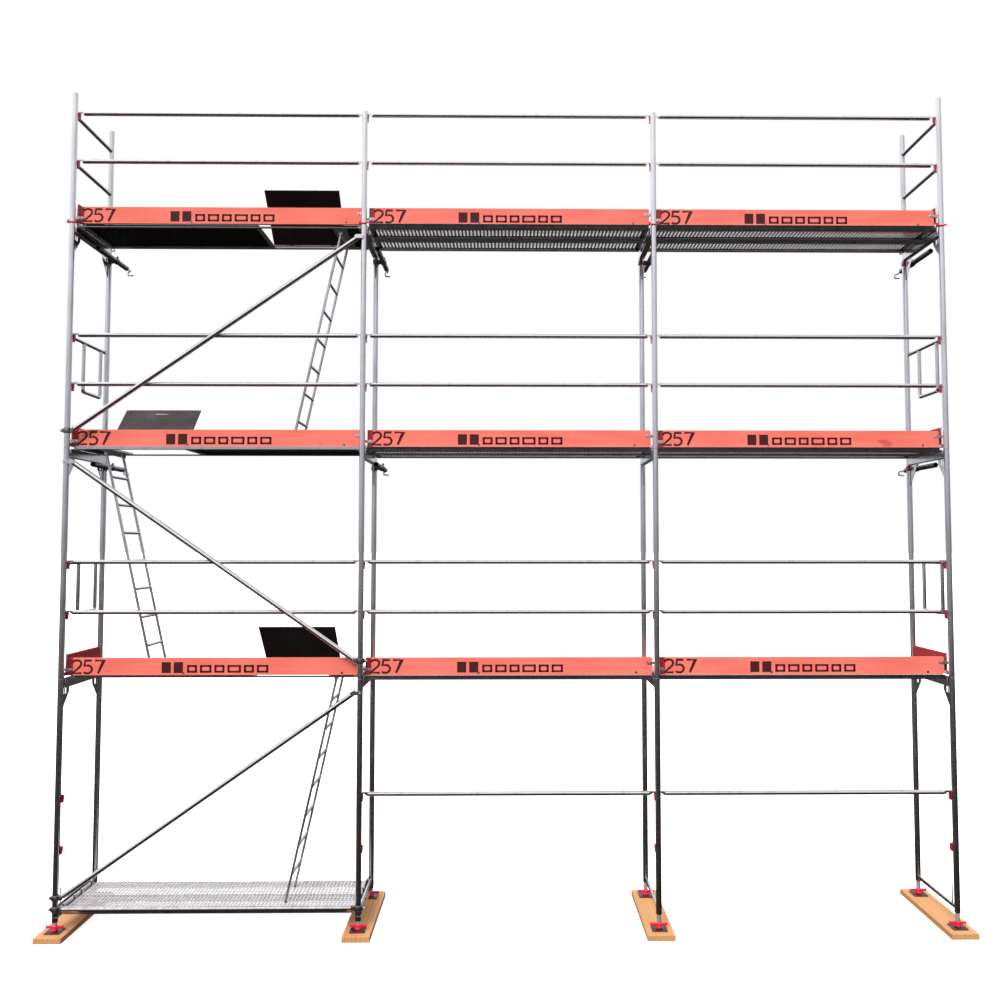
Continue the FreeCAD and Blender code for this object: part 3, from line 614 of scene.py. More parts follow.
def gusset(s, x, top, reach, edge, drop, slots):
    """The corner plate with its welds, open in two upright slots where it is a large one."""
    spans = [(23.5, reach, 0, None)]
    if slots:
        spans = [(23.5, 41, 0, None), (41, 63, 0, 8), (41, 63, 58, None), (63, 77, 0, None),
                 (77, 99, 0, 8), (77, 99, 58, None), (99, reach, 0, None)]
    for y0, y1, down, stop in spans:
        lows = [stop or drop + (edge - drop) * (y - 23.5) / (reach - 23.5) for y in (y0, y1)]
        outline = facing_x(x - 2, [
            (FRONT + y0, top - down), (FRONT + y1, top - down), (FRONT + y1, top - lows[1]),
            (FRONT + y0, top - lows[0]),
        ])
        plate(s, outline, (4, 0, 0), "steel")
    for side in (-1, 1):
        bead(s, [(x + side * 3, FRONT + 25.2, top - 2), (x + side * 3, FRONT + 25.2, top - drop + 4)],
             "weld", 2.2)
        bead(s, [(x + side * 3, FRONT + 28, top - 1), (x + side * 3, FRONT + reach - 3, top - 1)],
             "weld", 2.0)


def base_transom(x):
    """The channel under a base deck, with a short collar and a small plate at each end."""
    s = Shape()
    channel(s, x, 165, 240)
    corner = Shape()
    gusset(corner, x, 165, 110, 8, 36, False)
    tube(corner, (x, FRONT, 129), (x, FRONT, 174), TUBE_R, TUBE_BORE, "steel")
    ring_bead(corner, (x, FRONT, 166), TUBE_R + 0.6, "weld", 30, 150)
    s.join(corner)
    s.join(corner, flip_y())
    return s


def clamp(s, start, end, shoulder, rim, band):
    """A forged ring 48 wide round a tube, with its edges turned down."""
    profile = [(0, 24.4), (0, rim), (3, shoulder), (10, band), (38, band), (45, shoulder), (48, rim),
               (48, 24.4)]
    lathe(s, start, end, profile, "casting", ring=True)


def half_coupler(x, y, z, toward):
    """A forged clamp round an upright tube with its lugs, bolt and nuts."""
    s = Shape()
    clamp(s, (x, y, z - 24), (x, y, z + 24), 30, 28, 31)
    box(s, x - toward * 28, x - toward * 42, y - 14, y + 14, z - 16, z + 16, "casting", 4)
    box(s, x + toward * 27, x + toward * 57, y - 14, y + 14, z - 18, z + 18, "casting", 4)
    rod(s, (x - toward * 40, y, z), (x - toward * 61, y, z), 7, "zinc", 16)
    hexagon(s, (x - toward * 45, y, z), (x - toward * 55, y, z), 12.5, "zinc")
    hexagon(s, (x + toward * 8, y - 33, z + 9), (x + toward * 8, y - 29, z + 9), 9, "zinc")
    return s


def base_ledger():
    """The tube along the front of the first bay, with a clamp at each end."""
    s = Shape()
    left = LINES[0]
    right = LINES[1]
    tube(s, (left + 58, FRONT, LEDGER_Z), (right - 58, FRONT, LEDGER_Z), TUBE_R, TUBE_BORE, "rail")
    for line, toward in ((left, 1), (right, -1)):
        s.join(half_coupler(line, FRONT, LEDGER_Z, toward))
        rod(s, (line + toward * 57, FRONT, LEDGER_Z), (line + toward * 64, FRONT, LEDGER_Z), 23.6, "casting")
    return s


# ---------------------------------------------------------------- frames


def standard(s, x, y, low, high):
    """An upright with turned ends and two near-black discs, painted shade for the mouths of its joint pin
    hole.
    """
    tube(s, (x, y, low), (x, y, high), TUBE_R, TUBE_BORE, "steel", 32, 1.4)
    # Near-black discs on the tube's skin stand in for the uncut hole: painted shade.
    for side in (-1, 1):
        lathe(s, (x + side * 23.7, y, low + 16), (x + side * 24.5, y, low + 16),
              [(0, 5.5), (0.8, 5.0)], "ply", 14)


def spigot(s, x, y, top):
    tube(s, (x, y, top - 20), (x, y, top + 180), 19, 15, "steel", 28, 2.5)


def cross_tube(s, x, joint, reach):
    """The lower cross tube with the upright pin for the toeboards."""
    low = joint + 21
    box(s, x - 10, x + 10, FRONT + 22, FRONT + reach, low, low + 30, "steel", 2.5)
    for side in (-1, 1):
        bead(s, [(x + side * 10, FRONT + 23, low + 1), (x + side * 10, FRONT + 23, low + 29)], "weld")
    y = FRONT + TOE_PIN_OUT
    lathe(s, (x, y, low + 30), (x, y, joint + 216), [(0, 5), (160, 5), (164, 3.4), (165, 2.2)],
          "steel", 14)
    ring_bead(s, (x, y, low + 30.5), 6, "weld")


def scaffold_frame(x, joint):
    """Two standards with spigots, their cross tube, transom and corner plates."""
    s = Shape()
    top = joint + LIFT
    for y in (FRONT, BACK):
        standard(s, x, y, joint, top)
        spigot(s, x, y, top)
    cross_tube(s, x, joint, DEPTH - 22)
    channel(s, x, top - TRANSOM_DROP, top - 2)
    corner = Shape()
    gusset(corner, x, top - TRANSOM_DROP, 148, 45, 200, True)
    ring_bead(corner, (x, FRONT, top - 60), TUBE_R + 0.5, "weld", 40, 140)
    s.join(corner)
    s.join(corner, flip_y())
    return s


def end_frame(x):
    """The guard frame on top of an end line, with two rails across."""
    s = Shape()
    low = JOINTS[3]
    for y in (FRONT, BACK):
        standard(s, x, y, low, low + 1168)
    cross_tube(s, x, low, DEPTH - 22)
    for up in (544, 973):
        tube(s, (x, FRONT + 56, low + up), (x, BACK - 20, low + up), RAIL_R, 17, "steel")
        for y, side in ((FRONT + 56, 1), (BACK - 23.5, -1)):
            ring_bead(s, (x, y + side * 1.5, low + up), RAIL_R + 0.8, "weld", axis=(0, 1, 0))
    return s


def guard_post(x):
    """The single guard post on top of a middle line, with its stub for the toeboards."""
    s = Shape()
    standard(s, x, FRONT, JOINTS[3], JOINTS[3] + 1018)
    cross_tube(s, x, JOINTS[3], 99)
    return s


def rail_box(x, z):
    """The tapered sleeve that takes the rail tabs: four walls welded to the standard."""
    s = Shape()
    low = z - 62
    for y0, y1 in ((FRONT + 23, FRONT + 27), (FRONT + 53, FRONT + 56)):
        outline = facing_y(y0, [(x - 29, z), (x + 29, z), (x + 24, low), (x - 24, low)])
        plate(s, outline, (0, y1 - y0, 0), "red_box")
    for side in (-1, 1):
        outline = facing_y(FRONT + 25, [
            (x + side * 29, z), (x + side * 26, z), (x + side * 21, low), (x + side * 24, low),
        ])
        plate(s, outline, (0, 30, 0), "red_box")
        bead(s, [(x + side * 9, FRONT + 23.2, z - 3), (x + side * 9, FRONT + 23.2, low + 3)], "red_box")
    return s


def wedge(x, z):
    """The flat wedge in a guardrail sleeve."""
    s = Shape()
    near = FRONT + 28.5
    outline = facing_y(near, [
        (x - 12.5, z + 22), (x + 12.5, z + 22), (x + 14, z + 18), (x + 9, z - 84), (x - 9, z - 84),
        (x - 14, z + 18),
    ])
    plate(s, outline, (0, 5, 0), "zinc")
    rod(s, (x, near - 0.6, z - 76), (x, near + 5.6, z - 76), 3.5, "zinc", 12)
    return s


def locking_pin(x, y):
    """A red drop pin through the joint, its wire loop passed round the standard."""
    s = Shape()
    z = JOINTS[3] + 16
    side = -1 if y == FRONT else 1
    rod(s, (x - 44, y, z), (x + 46, y, z), 5.2, "red", 14)
    box(s, x - 44, x - 29, y - 5, y + 5, z - 20, z + 15, "red", 2.5)
    path = rounded(
        [(x - 37, y, z - 14), (x - 37, y + side * 30, z - 18), (x + 40, y + side * 30, z - 18),
         (x + 41, y + side * 6, z - 6)],
        9,
    )
    pipe(s, path, 4.8, "red", 12)
    return s


# ---------------------------------------------------------------- edge protection


def guardrail(left, right, z):
    """A rail whose tube ends are pressed flat into the tabs that hang in the sleeves."""
    s = Shape()
    y = FRONT + RAIL_OUT
    tube(s, (left + 74, y, z), (right - 74, y, z), RAIL_R, 17, "rail", 28)
    for side, line in ((1, left), (-1, right)):
        loops = []
        for along, wide, high in ((76, 19, 19), (70, 17.5, 18.9), (62, 10, 18.2), (56, 3.2, 17)):
            angles = np.arange(28) * 2 * math.pi / 28
            loops.append(
                np.stack([np.full(28, line + side * along), y + wide * np.cos(angles),
                          z + high * np.sin(angles)], axis=1)
            )
        rings(s, loops, "rail")
        outline = facing_y(y - 3, [
            (line + side * 6, z + 12), (line + side * 9, z + 14.5), (line + side * 60, z + 17),
            (line + side * 60, z - 17), (line + side * 36, z + 2), (line + side * 25, z + 2),
            (line + side * 19, z - 44), (line + side * 6, z - 44),
        ])
        plate(s, outline, (0, 6, 0), "rail")
    return s


def end_guardrail(x, outward, joint):
    """A front-to-back rail with its hanging loop, hook and rear clip."""
    s = Shape()
    plane = x + outward * 19
    z = joint + 998
    near = FRONT + 60
    tube(s, (plane, near, z), (plane, BACK - 34, z), LOOP_R, 14.5, "rail", 24)
    outline = facing_x(plane - 3, [
        (FRONT + 38, z + 15.5), (near + 24, z + 15.5), (near + 24, z + 6), (near, z + 6),
        (near, z + 11), (FRONT + 50, z + 11), (FRONT + 50, z - 30), (FRONT + 38, z - 30),
    ])
    plate(s, outline, (6, 0, 0), "steel")
    start, end = (90, 270) if outward < 0 else (-90, 90)
    loops = []
    for a in np.radians(np.linspace(start, end, 15)):
        d = np.array([math.cos(a), math.sin(a), 0])
        centre = np.array([x, BACK, z])
        loops.append(
            np.array([centre + d * 24.5 + (0, 0, -15), centre + d * 30 + (0, 0, -15),
                      centre + d * 30 + (0, 0, 15), centre + d * 24.5 + (0, 0, 15)])
        )
    rings(s, loops, "steel")
    box(s, plane - 7, plane + 7, BACK - 44, BACK - 25, z - 13, z + 13, "steel", 2)
    near_y, far_y = [FRONT + along for along in (RIGHT_LOOP if outward > 0 else LEFT_LOOP)]
    low = z - 450
    path = rounded([(plane, near_y, z - 15), (plane, near_y, low), (plane, far_y, low),
                    (plane, far_y, z - 15)], 20, 6)
    pipe(s, path, LOOP_R, "rail", 22)
    for y in (near_y, far_y):
        ring_bead(s, (plane, y, z - 13), LOOP_R + 0.6, "weld")
    return s


DIGITS = {
    "2": [(0, 0.82), (0.08, 0.93), (0.28, 1.0), (0.5, 0.98), (0.64, 0.86), (0.66, 0.68), (0.55, 0.5),
          (0.0, 0.02), (0.7, 0.02)],
    "5": [(0.62, 0.98), (0.1, 0.98), (0.06, 0.56), (0.3, 0.62), (0.52, 0.55), (0.64, 0.36),
          (0.58, 0.13), (0.38, 0.01), (0.16, 0.01), (0.0, 0.09)],
    "7": [(0.0, 0.98), (0.68, 0.98), (0.24, 0.0)],
}


def square_to(d):
    """The unit vector a quarter turn from a direction in a plane."""
    d = unit(d)
    return np.array([-d[1], d[0]])


def stroke(s, points, x, z, size, y, half):
    """A painted line along points of a digit, mitred where it turns."""
    path = [np.array([x + px * size, z + pz * size]) for px, pz in points]
    sides = ([], [])
    for i, p in enumerate(path):
        n = square_to(path[min(i + 1, len(path) - 1)] - path[max(i - 1, 0)])
        if 0 < i < len(path) - 1:
            n = n / max(0.5, abs(float(n @ square_to(p - path[i - 1]))))
        sides[0].append(p + n * half)
        sides[1].append(p - n * half)
    points = [(a, y, b) for a, b in sides[0]] + [(a, y, b) for a, b in sides[1]]
    count = len(path)
    faces = [[i, i + 1, count + i + 1, count + i] for i in range(count - 1)]
    s.add(points, faces, "mark")


def toeboard(bay, joint):
    """A red board with its length number, plain stencilled blocks and a dark cap at the left."""
    s = Shape()
    left = LINES[bay]
    low = joint + DECK_UP
    high = low + TOE_HIGH
    near = FRONT + TOE_OUT
    start = left + TOE_LEFT_GAPS[bay]
    end = LINES[bay + 1] - 28
    outline = facing_y(near, [
        (start + 50, low), (end - 12, low), (end, low + 12), (end, high - 8), (end - 8, high),
        (start + 50, high),
    ])
    plate(s, outline, (0, 28, 0), "red_timber")
    box(s, start, start + 50, near, near + 28, low, high, "cap", 2)
    face = near - 0.25
    for number, digit in enumerate("257"):
        stroke(s, DIGITS[digit], start + 46 + number * 97, low + 17, 113, face, 9.5)
    for x in (left + 833, left + 938):
        box(s, x, x + 80, face, near + 0.2, low + 19, low + 113, "mark", 0.1)
    x = left + 1053
    for wide in (88, 100, 88, 118, 88, 100):
        for z in (low + 21, low + 71):
            box(s, x, x + wide, face, near + 0.2, z, z + 17, "mark", 0.1)
        for side in (x, x + wide - 19):
            box(s, side, side + 19, face, near + 0.2, low + 21, low + 88, "mark", 0.1)
        x += wide + 25
    for x in (left + 1020, left + 2400):
        rod(s, (x, near + 1, low + 18), (x, near - 1.2, low + 18), 11, "casting", 18)
    return s


def toeboard_fitting(line, side, gap, low):
    """The steel end of a toeboard: strap with its bolt, end leaf and the eye round the pin."""
    s = Shape()
    high = low + 25
    board = line + side * gap
    near = FRONT + 72
    box(s, board, board + side * 46, near, near + 3, low, high, "zinc", 0.8)
    box(s, board - side * 3, board, near, FRONT + 86, low, high, "zinc", 0.8)
    box(s, board - side * 2, line + side * 10, FRONT + 80, FRONT + 86, low, high, "zinc", 0.8)
    tube(s, (line, FRONT + TOE_PIN_OUT, low), (line, FRONT + TOE_PIN_OUT, high), 12, 5.8, "zinc", 20)
    head = board + side * 28
    lathe(s, (head, near, low + 12.5), (head, near - 4, low + 12.5),
          [(0, 8), (1.5, 7.6), (3.2, 5.2), (4, 2.4)], "zinc", 16)
    return s


def end_toeboard(x, joint):
    """A red board across an end line, with a steel strip at each end; its darker red is painted shade."""
    s = Shape()
    low = joint + 51
    box(s, x - 14, x + 14, FRONT + 100, BACK - 27, low, low + TOE_HIGH, "end_timber", 2)
    for y in (FRONT + 101, BACK - 28):
        box(s, x - 15, x + 15, y - 1, y + 1, low + 20, low + 46, "zinc", 0.5)
    return s


# ---------------------------------------------------------------- decks


def claw(s, line, side, y, rim, bottom, top, material):
    """One deck hook over a transom wall, bent from strip."""
    edge = line + side * DECK_GAP
    tip = line + side * 13
    outline = facing_y(y - 20, [
        (edge - side * 5, bottom), (edge, bottom), (edge, max(rim + 6, top)),
        (edge - side * 5, max(rim + 6, top)), (edge - side * 6, rim + 6), (tip + side * 2, rim + 6),
        (tip, rim + 3), (tip, rim - 30), (tip + side * 6, rim - 30), (tip + side * 6, rim),
        (edge - side * 5, rim),
    ])
    plate(s, outline, (0, 40, 0), material)


def perforated(s, x0, x1, y0, y1, top, thick, pitch, hole):
    """A sheet with rows of round holes whose rims are drawn up, and plain strips along its edges."""
    start_x = x0 + END_STRIP
    start_y = y0 + SIDE_STRIP
    nx = int((x1 - x0 - 2 * END_STRIP) // pitch)
    ny = int((y1 - y0 - 2 * SIDE_STRIP) // pitch)
    px = (x1 - x0 - 2 * END_STRIP) / nx
    py = (y1 - y0 - 2 * SIDE_STRIP) / ny
    steps = 8
    angles = np.radians(np.arange(steps) * 45 + 22.5)
    unit_ring = np.stack([np.cos(angles), np.sin(angles)], axis=1)
    edge = []
    for c, sn in unit_ring:
        scale = 1 / max(abs(c), abs(sn))
        edge.append((c * scale * px / 2, sn * scale * py / 2))
    edge = np.array(edge)
    levels = [(edge, 0.0), (unit_ring * (hole + 0.8), 1.6), (unit_ring * hole, -thick), (edge, -thick)]
    corners = np.array([(-px / 2, -py / 2), (px / 2, -py / 2), (px / 2, py / 2), (-px / 2, py / 2)])
    layers = levels + [(corners, 0.0), (corners, -thick)]
    cell = np.concatenate([np.column_stack([ring, np.full(len(ring), z)]) for ring, z in layers])

    faces = []
    for level in range(len(levels) - 1):
        low = level * steps
        for i in range(steps):
            j = (i + 1) % steps
            faces.append((low + i, low + j, low + steps + j, low + steps + i))
    count = len(levels) * steps
    for base, first in ((0, count), (count - steps, count + 4)):
        for i in range(4):
            at = np.degrees(np.arctan2(corners[i][1], corners[i][0])) % 360
            before = int((at - 22.5) // 45) % steps
            faces.append((base + before, base + (before + 1) % steps, first + i))
    upper = [f for f in faces if max(f) < 3 * steps or count <= max(f) < count + 4]
    under = [f for f in faces if f not in upper]

    middles = [(start_x + (i + 0.5) * px, start_y + (j + 0.5) * py, top)
               for i in range(nx) for j in range(ny)]
    points = np.concatenate([cell + middle for middle in middles])
    for chosen, material in ((upper, "tread"), (under, "plank")):
        flat = np.concatenate(chosen)
        offsets = np.repeat(np.arange(nx * ny) * len(cell), len(flat))
        counts = np.tile([len(f) for f in chosen], nx * ny)
        s.parts.append((points, np.tile(flat, nx * ny) + offsets, counts, material))
    for high, low, material in ((top, top - 0.5, "tread"), (top - 0.5, top - thick, "plank")):
        box(s, x0, start_x, y0, y1, low, high, material, 0.1)
        box(s, x1 - END_STRIP, x1, y0, y1, low, high, material, 0.1)
        box(s, start_x, x1 - END_STRIP, y0, start_y, low, high, material, 0.1)
        box(s, start_x, x1 - END_STRIP, y1 - SIDE_STRIP, y1, low, high, material, 0.1)


def plank(left, right, near, top, rim):
    """A pressed steel plank: perforated walking sheet, sloping sides, end caps and claws."""
    s = Shape()
    x0 = left + DECK_GAP
    x1 = right - DECK_GAP
    far = near + PLANK_WIDE
    low = top - PLANK_THICK
    perforated(s, x0, x1, near, far, top - 1.6, 1.4, 33.0, 10.0)
    for y, side in ((near, 1), (far, -1)):
        foot = y + side * 22
        outline = facing_x(x0, [
            (y + side * 2, top - 2), (y, top - 3), (foot - side, low + 2), (foot + side, low),
            (foot + side * 27, low), (foot + side * 28, low + 2), (foot + side * 28, low + 12),
            (foot + side * 26, low + 12), (foot + side * 26, low + 2), (foot + side * 2, low + 2),
        ])
        plate(s, outline, (x1 - x0, 0, 0), "plank")
        for down in (12, 28):
            y_line = y + side * (22 * down / PLANK_THICK + 0.8)
            rod(s, (x0 + 4, y_line, top - down), (x1 - 4, y_line, top - down), 1.6, "plank", 8)
    for x, side in ((x0, 1), (x1, -1)):
        outline = facing_x(x, [
            (near + 1, top - 2), (far - 1, top - 2), (far - 23, low + 1), (near + 23, low + 1),
        ])
        plate(s, outline, (side * 4, 0, 0), "plank")
        bead(s, [(x + side * 4, near + 26, low + 3), (x + side * 4, far - 26, low + 3)], "weld", 1.8)
    for y in (near + 62, far - 62):
        claw(s, left, 1, y, rim, low + 4, top - 4, "plank")
        claw(s, right, -1, y, rim, low + 4, top - 4, "plank")
    return s


def plank_pair(bay, joint, up, rim):
    """Two planks side by side across one bay."""
    s = Shape()
    for start in PLANK_STARTS:
        s.join(plank(LINES[bay], LINES[bay + 1], FRONT + start, joint + up, rim))
    return s


class Deck:
    """The places that the pieces of one access deck share, before the turn of level 2."""

    def __init__(self, level):
        self.top = JOINTS[level] + DECK_UP
        self.low = self.top - ACCESS_THICK
        self.ledge = self.top - 12.4
        self.rim = JOINTS[level] - 2
        self.near = FRONT + ACCESS_NEAR
        self.far = FRONT + ACCESS_FAR
        self.inside0 = self.near + 22
        self.inside1 = self.far - 50
        self.x0 = LINES[0] + DECK_GAP
        self.x1 = LINES[1] - DECK_GAP
        self.hatch1 = LINES[1] - HATCH_STARTS[level - 1]
        self.hatch0 = self.hatch1 - HATCH_LONG
        self.hinges = (self.hatch0 + 110, self.hatch1 - 190)
        self.hinge_y = self.inside1 - 2
        self.hinge_z = self.top + 5.5
        self.opens = LID_OPENS[level - 1]
        self.pivot_x = LINES[1] - LADDER_PIVOTS[level - 1]
        self.pivot_z = self.low - 22
        self.foot = BASE + 36 if level == 1 else JOINTS[level - 1] + DECK_UP
        self.lean = LADDER_LEANS[level - 1]


def deck_frame(d):
    """The edge rails, end plates, trimmers, claws, fixed hinge leaves and ladder ears."""
    s = Shape()
    # The near rail takes the darker aluminium copy: painted shade from the toeboard beside it.
    box(s, d.x0 + 36, d.x1 - 36, d.near, d.inside0, d.low, d.ledge, "dull", 1.5)
    # Thin pale strips on the far rail's inner web and, under the hatch, on its bottom flange: painted light.
    box(s, d.x0 + 40, d.x1 - 40, d.inside1 - 0.6, d.inside1 + 3, d.low + 1, d.ledge - 1, "lit_rail", 0.3)
    box(s, d.hatch0 + 9, d.hatch1 - 28, d.inside1 + 1, d.far - 1, d.low - 0.4, d.low + 1, "lit_rail", 0.2)
    outline = facing_x(d.x0, [
        (d.far, d.low + 1), (d.far, d.top - 1), (d.far - 1, d.top), (d.inside1, d.top),
        (d.inside1, d.ledge), (d.far - 46, d.ledge - 2), (d.far - 46, d.low + 3),
        (d.inside1, d.low + 3), (d.inside1, d.low), (d.far - 1, d.low),
    ])
    plate(s, outline, (d.x1 - d.x0, 0, 0), "alloy")
    for z in (d.low + 8, d.top - 8):
        rod(s, (d.x0 + 2, d.far - 0.8, z), (d.x1 - 2, d.far - 0.8, z), 1.6, "alloy", 8)
    for x, side in ((d.x0, 1), (d.x1, -1)):
        box(s, x, x + side * 40, d.near, d.inside1 + 4, d.low, d.top, "alloy", 1.5)
    for x0, x1 in ((d.hatch1 - 28, d.hatch1 + 92), (d.hatch0 - 30, d.hatch0 + 9)):
        box(s, x0, x1, d.inside0 - 4, d.inside1 + 4, d.low, d.ledge, "alloy", 1.5)
    for y in (d.near + 90, d.far - 90):
        for line, side in ((LINES[0], 1), (LINES[1], -1)):
            claw(s, line, side, y, d.rim, d.low, d.top - 2, "alloy")
    for x in np.arange(d.x0 + 90, d.x1 - 40, 240):
        for y in (d.near + 10, d.inside1 + 12):
            if y > MIDDLE or not d.hatch0 - 20 < x < d.hatch1 + 20:
                rivet(s, x, y, d.top - 0.3, [(0, 5), (1, 4.6), (1.9, 2)])
    for x in d.hinges:
        box(s, x + 40, x + 78, d.hinge_y + 2, d.hinge_y + 8, d.top, d.hinge_z, "zinc", 0.6)
        rod(s, (x + 40, d.hinge_y, d.hinge_z), (x + 78, d.hinge_y, d.hinge_z), 5, "zinc", 16)
    for side in (-1, 1):
        outline = facing_y(MIDDLE + side * 189, [
            (d.pivot_x - 16, d.low + 1), (d.pivot_x + 16, d.low + 1), (d.pivot_x + 16, d.pivot_z - 6),
            (d.pivot_x + 8, d.pivot_z - 14), (d.pivot_x - 8, d.pivot_z - 14),
            (d.pivot_x - 16, d.pivot_z - 6),
        ])
        plate(s, outline, (0, side * 6, 0), "alloy")
    return s


def deck_panels(d):
    """Two plywood panels, each with its walking side."""
    s = Shape()
    for a, b in ((d.x0 + 40, d.hatch0 - 2), (d.hatch1 + 2, d.x1 - 40)):
        box(s, a, b, d.near, d.inside1, d.ledge, d.top - 2, "ply", 0.8)
        box(s, a + 1, b - 1, d.near + 1, d.inside1 - 1, d.top - 2.2, d.top - 0.2, "grip_ply", 0.6)
    return s


def hatch_lid(d):
    """The lid with its hinge leaves, hand grip and rivets, turned open about the hinge."""
    s = Shape()
    box(s, d.hatch0, d.hatch1, d.near + 2, d.inside1 - 4, d.top - 12, d.top - 2, "lid_ply", 1.5)
    box(s, d.hatch0 + 1, d.hatch1 - 1, d.near + 3, d.inside1 - 5, d.top - 2.2, d.top - 0.1, "grip_ply", 0.6)
    for x in d.hinges:
        box(s, x, x + 38, d.hinge_y - 34, d.hinge_y, d.top - 0.2, d.top + 2.8, "zinc", 0.6)
        rod(s, (x, d.hinge_y, d.hinge_z), (x + 38, d.hinge_y, d.hinge_z), 5, "zinc", 16)
        for y in (d.hinge_y - 12, d.hinge_y - 26):
            rivet(s, x + 19, y, d.top + 2.6, [(0, 4), (1, 3.6), (1.8, 1.4)])
    middle = (d.hatch0 + d.hatch1) / 2
    box(s, middle - 60, middle + 60, d.near + 62, d.near + 76, d.top - 0.3, d.top + 2.8, "zinc", 1)
    for x in (middle - 50, middle + 50):
        rod(s, (x, d.near + 69, d.top + 2), (x, d.near + 69, d.top + 3), 4, "casting", 10)
    for y in (d.near + 12, d.inside1 - 20):
        for x in (d.hatch0 + 14, d.hatch1 - 14):
            rivet(s, x, y, d.top - 0.2, [(0, 5), (0.8, 4.4), (1.4, 2)])
    return Shape().join(s, turn((1, 0, 0), -d.opens, (0, d.hinge_y, d.hinge_z)))


def deck_shapes(level):
    """The frame, panels, lid and ladder of one access deck, turned end for end on level 2."""
    d = Deck(level)
    ladder = Shape().join(ladder_shape(d.pivot_x, d.pivot_z, d.foot, d.lean),
                          turn((0, 1, 0), d.lean, (d.pivot_x, MIDDLE, d.pivot_z)))
    shapes = [deck_frame(d), deck_panels(d), hatch_lid(d), ladder]
    if level == 2:
        half_turn = turn((0, 0, 1), 180, ((LINES[0] + LINES[1]) / 2, MIDDLE + TURN_ASIDE, 0))
        shapes = [Shape().join(shape, half_turn) for shape in shapes]
    return shapes


def ladder_shape(pivot_x, pivot_z, foot, tilt):
    """A ladder hanging straight down from its pivot bar: plain stiles, welded rungs and dark feet."""
    s = Shape()
    lean = math.radians(tilt)
    long = (pivot_z - foot - 10 * math.sin(lean) - 0.4) / math.cos(lean)
    bottom = pivot_z - long
    for side in (-1, 1):
        outer = MIDDLE + side * 186
        inner = MIDDLE + side * 164
        box(s, pivot_x - 10, pivot_x + 10, outer, inner, bottom + 3, pivot_z + 12, "alloy", 4)
        box(s, pivot_x - 9.5, pivot_x + 9.5, outer - side * 0.5, inner + side * 0.5, bottom,
            bottom + 30, "ply", 2)
    rod(s, (pivot_x, MIDDLE - 196, pivot_z), (pivot_x, MIDDLE + 196, pivot_z), 8, "zinc", 18)
    for number in range(7):
        z = bottom + (number + 1) * 257 - 12.5
        rod(s, (pivot_x, MIDDLE - 165, z), (pivot_x, MIDDLE + 165, z), 12.5, "alloy", 20)
        for side in (-1, 1):
            ring_bead(s, (pivot_x, MIDDLE + side * 163.5, z), 12.6, "alloy", axis=(0, 1, 0))
    return s


# ---------------------------------------------------------------- bracing and ties


def brace_axis(foot_left, lift):
    """The two ends of a diagonal's middle line."""
    side = 1 if foot_left else -1
    foot = LINES[0] if foot_left else LINES[1]
    head = LINES[1] if foot_left else LINES[0]
    low = JOINTS[lift] + 168
    high = JOINTS[lift + 1] - 112
    return np.array([foot + side * 64, FRONT, low]), np.array([head - side * 38, FRONT, high])


def brace(foot_left, lift):
    """A diagonal tube with closed ends."""
    s = Shape()
    start, end = brace_axis(foot_left, lift)
    tube(s, start, end, BRACE_R, 18.9, "rail")
    d = unit(end - start)
    for point in (start + d * 1.5, end - d * 1.5):
        rod(s, point - d, point + d, 18.9, "casting")
    return s


def brace_ends(foot_left, lift):
    """The swivel clamp at a brace's foot and the flattened hook at its head."""
    side = 1 if foot_left else -1
    foot = LINES[0] if foot_left else LINES[1]
    head = LINES[1] if foot_left else LINES[0]
    start, end = brace_axis(foot_left, lift)
    s = half_coupler(foot, FRONT, start[2] - 14, side)
    low = end[2] - 26
    high = end[2] + 8
    outline = facing_y(FRONT - 33, [
        (head + side * 16, low + 5), (head + side * 11, low), (head - side * 70, low),
        (head - side * 78, low + 10), (head - side * 78, high - 8), (head - side * 60, high),
        (head + side * 11, high), (head + side * 16, high - 5),
    ])
    plate(s, outline, (0, 5.5, 0), "steel")
    box(s, head - side * 14, head - side * 76, FRONT - 28, FRONT - 20, low + 2, high - 2, "steel", 2)
    middle = (low + high) / 2
    lathe(s, (head + side * 2, FRONT - 33, middle), (head + side * 2, FRONT - 39, middle),
          [(0, 9), (2, 9), (4.5, 6.5), (6, 3)], "zinc", 18)
    return s


def wall_tie(line, level):
    """A tube from inside the frame toward the wall, with its bent hook."""
    s = Shape()
    x = LINES[line] + TIE_ASIDE
    z = JOINTS[level] - TIE_DROP
    far = FRONT + TIE_FAR
    tube(s, (x, FRONT + TIE_NEAR, z), (x, far, z), TUBE_R, TUBE_BORE, "casting")
    rod(s, (x, far - 6, z), (x, far - 1, z), 21, "casting")
    hook = FRONT + HOOK_FAR
    path = rounded([(x, far - 4, z), (x, hook, z), (x - 25, hook, z), (x - 25, hook, z - 40),
                    (x + 25, hook, z - 40)], 11, 5)
    pipe(s, path, 8, "steel", 16)
    ring_bead(s, (x, far, z), 9.5, "weld", axis=(0, 1, 0))
    return s


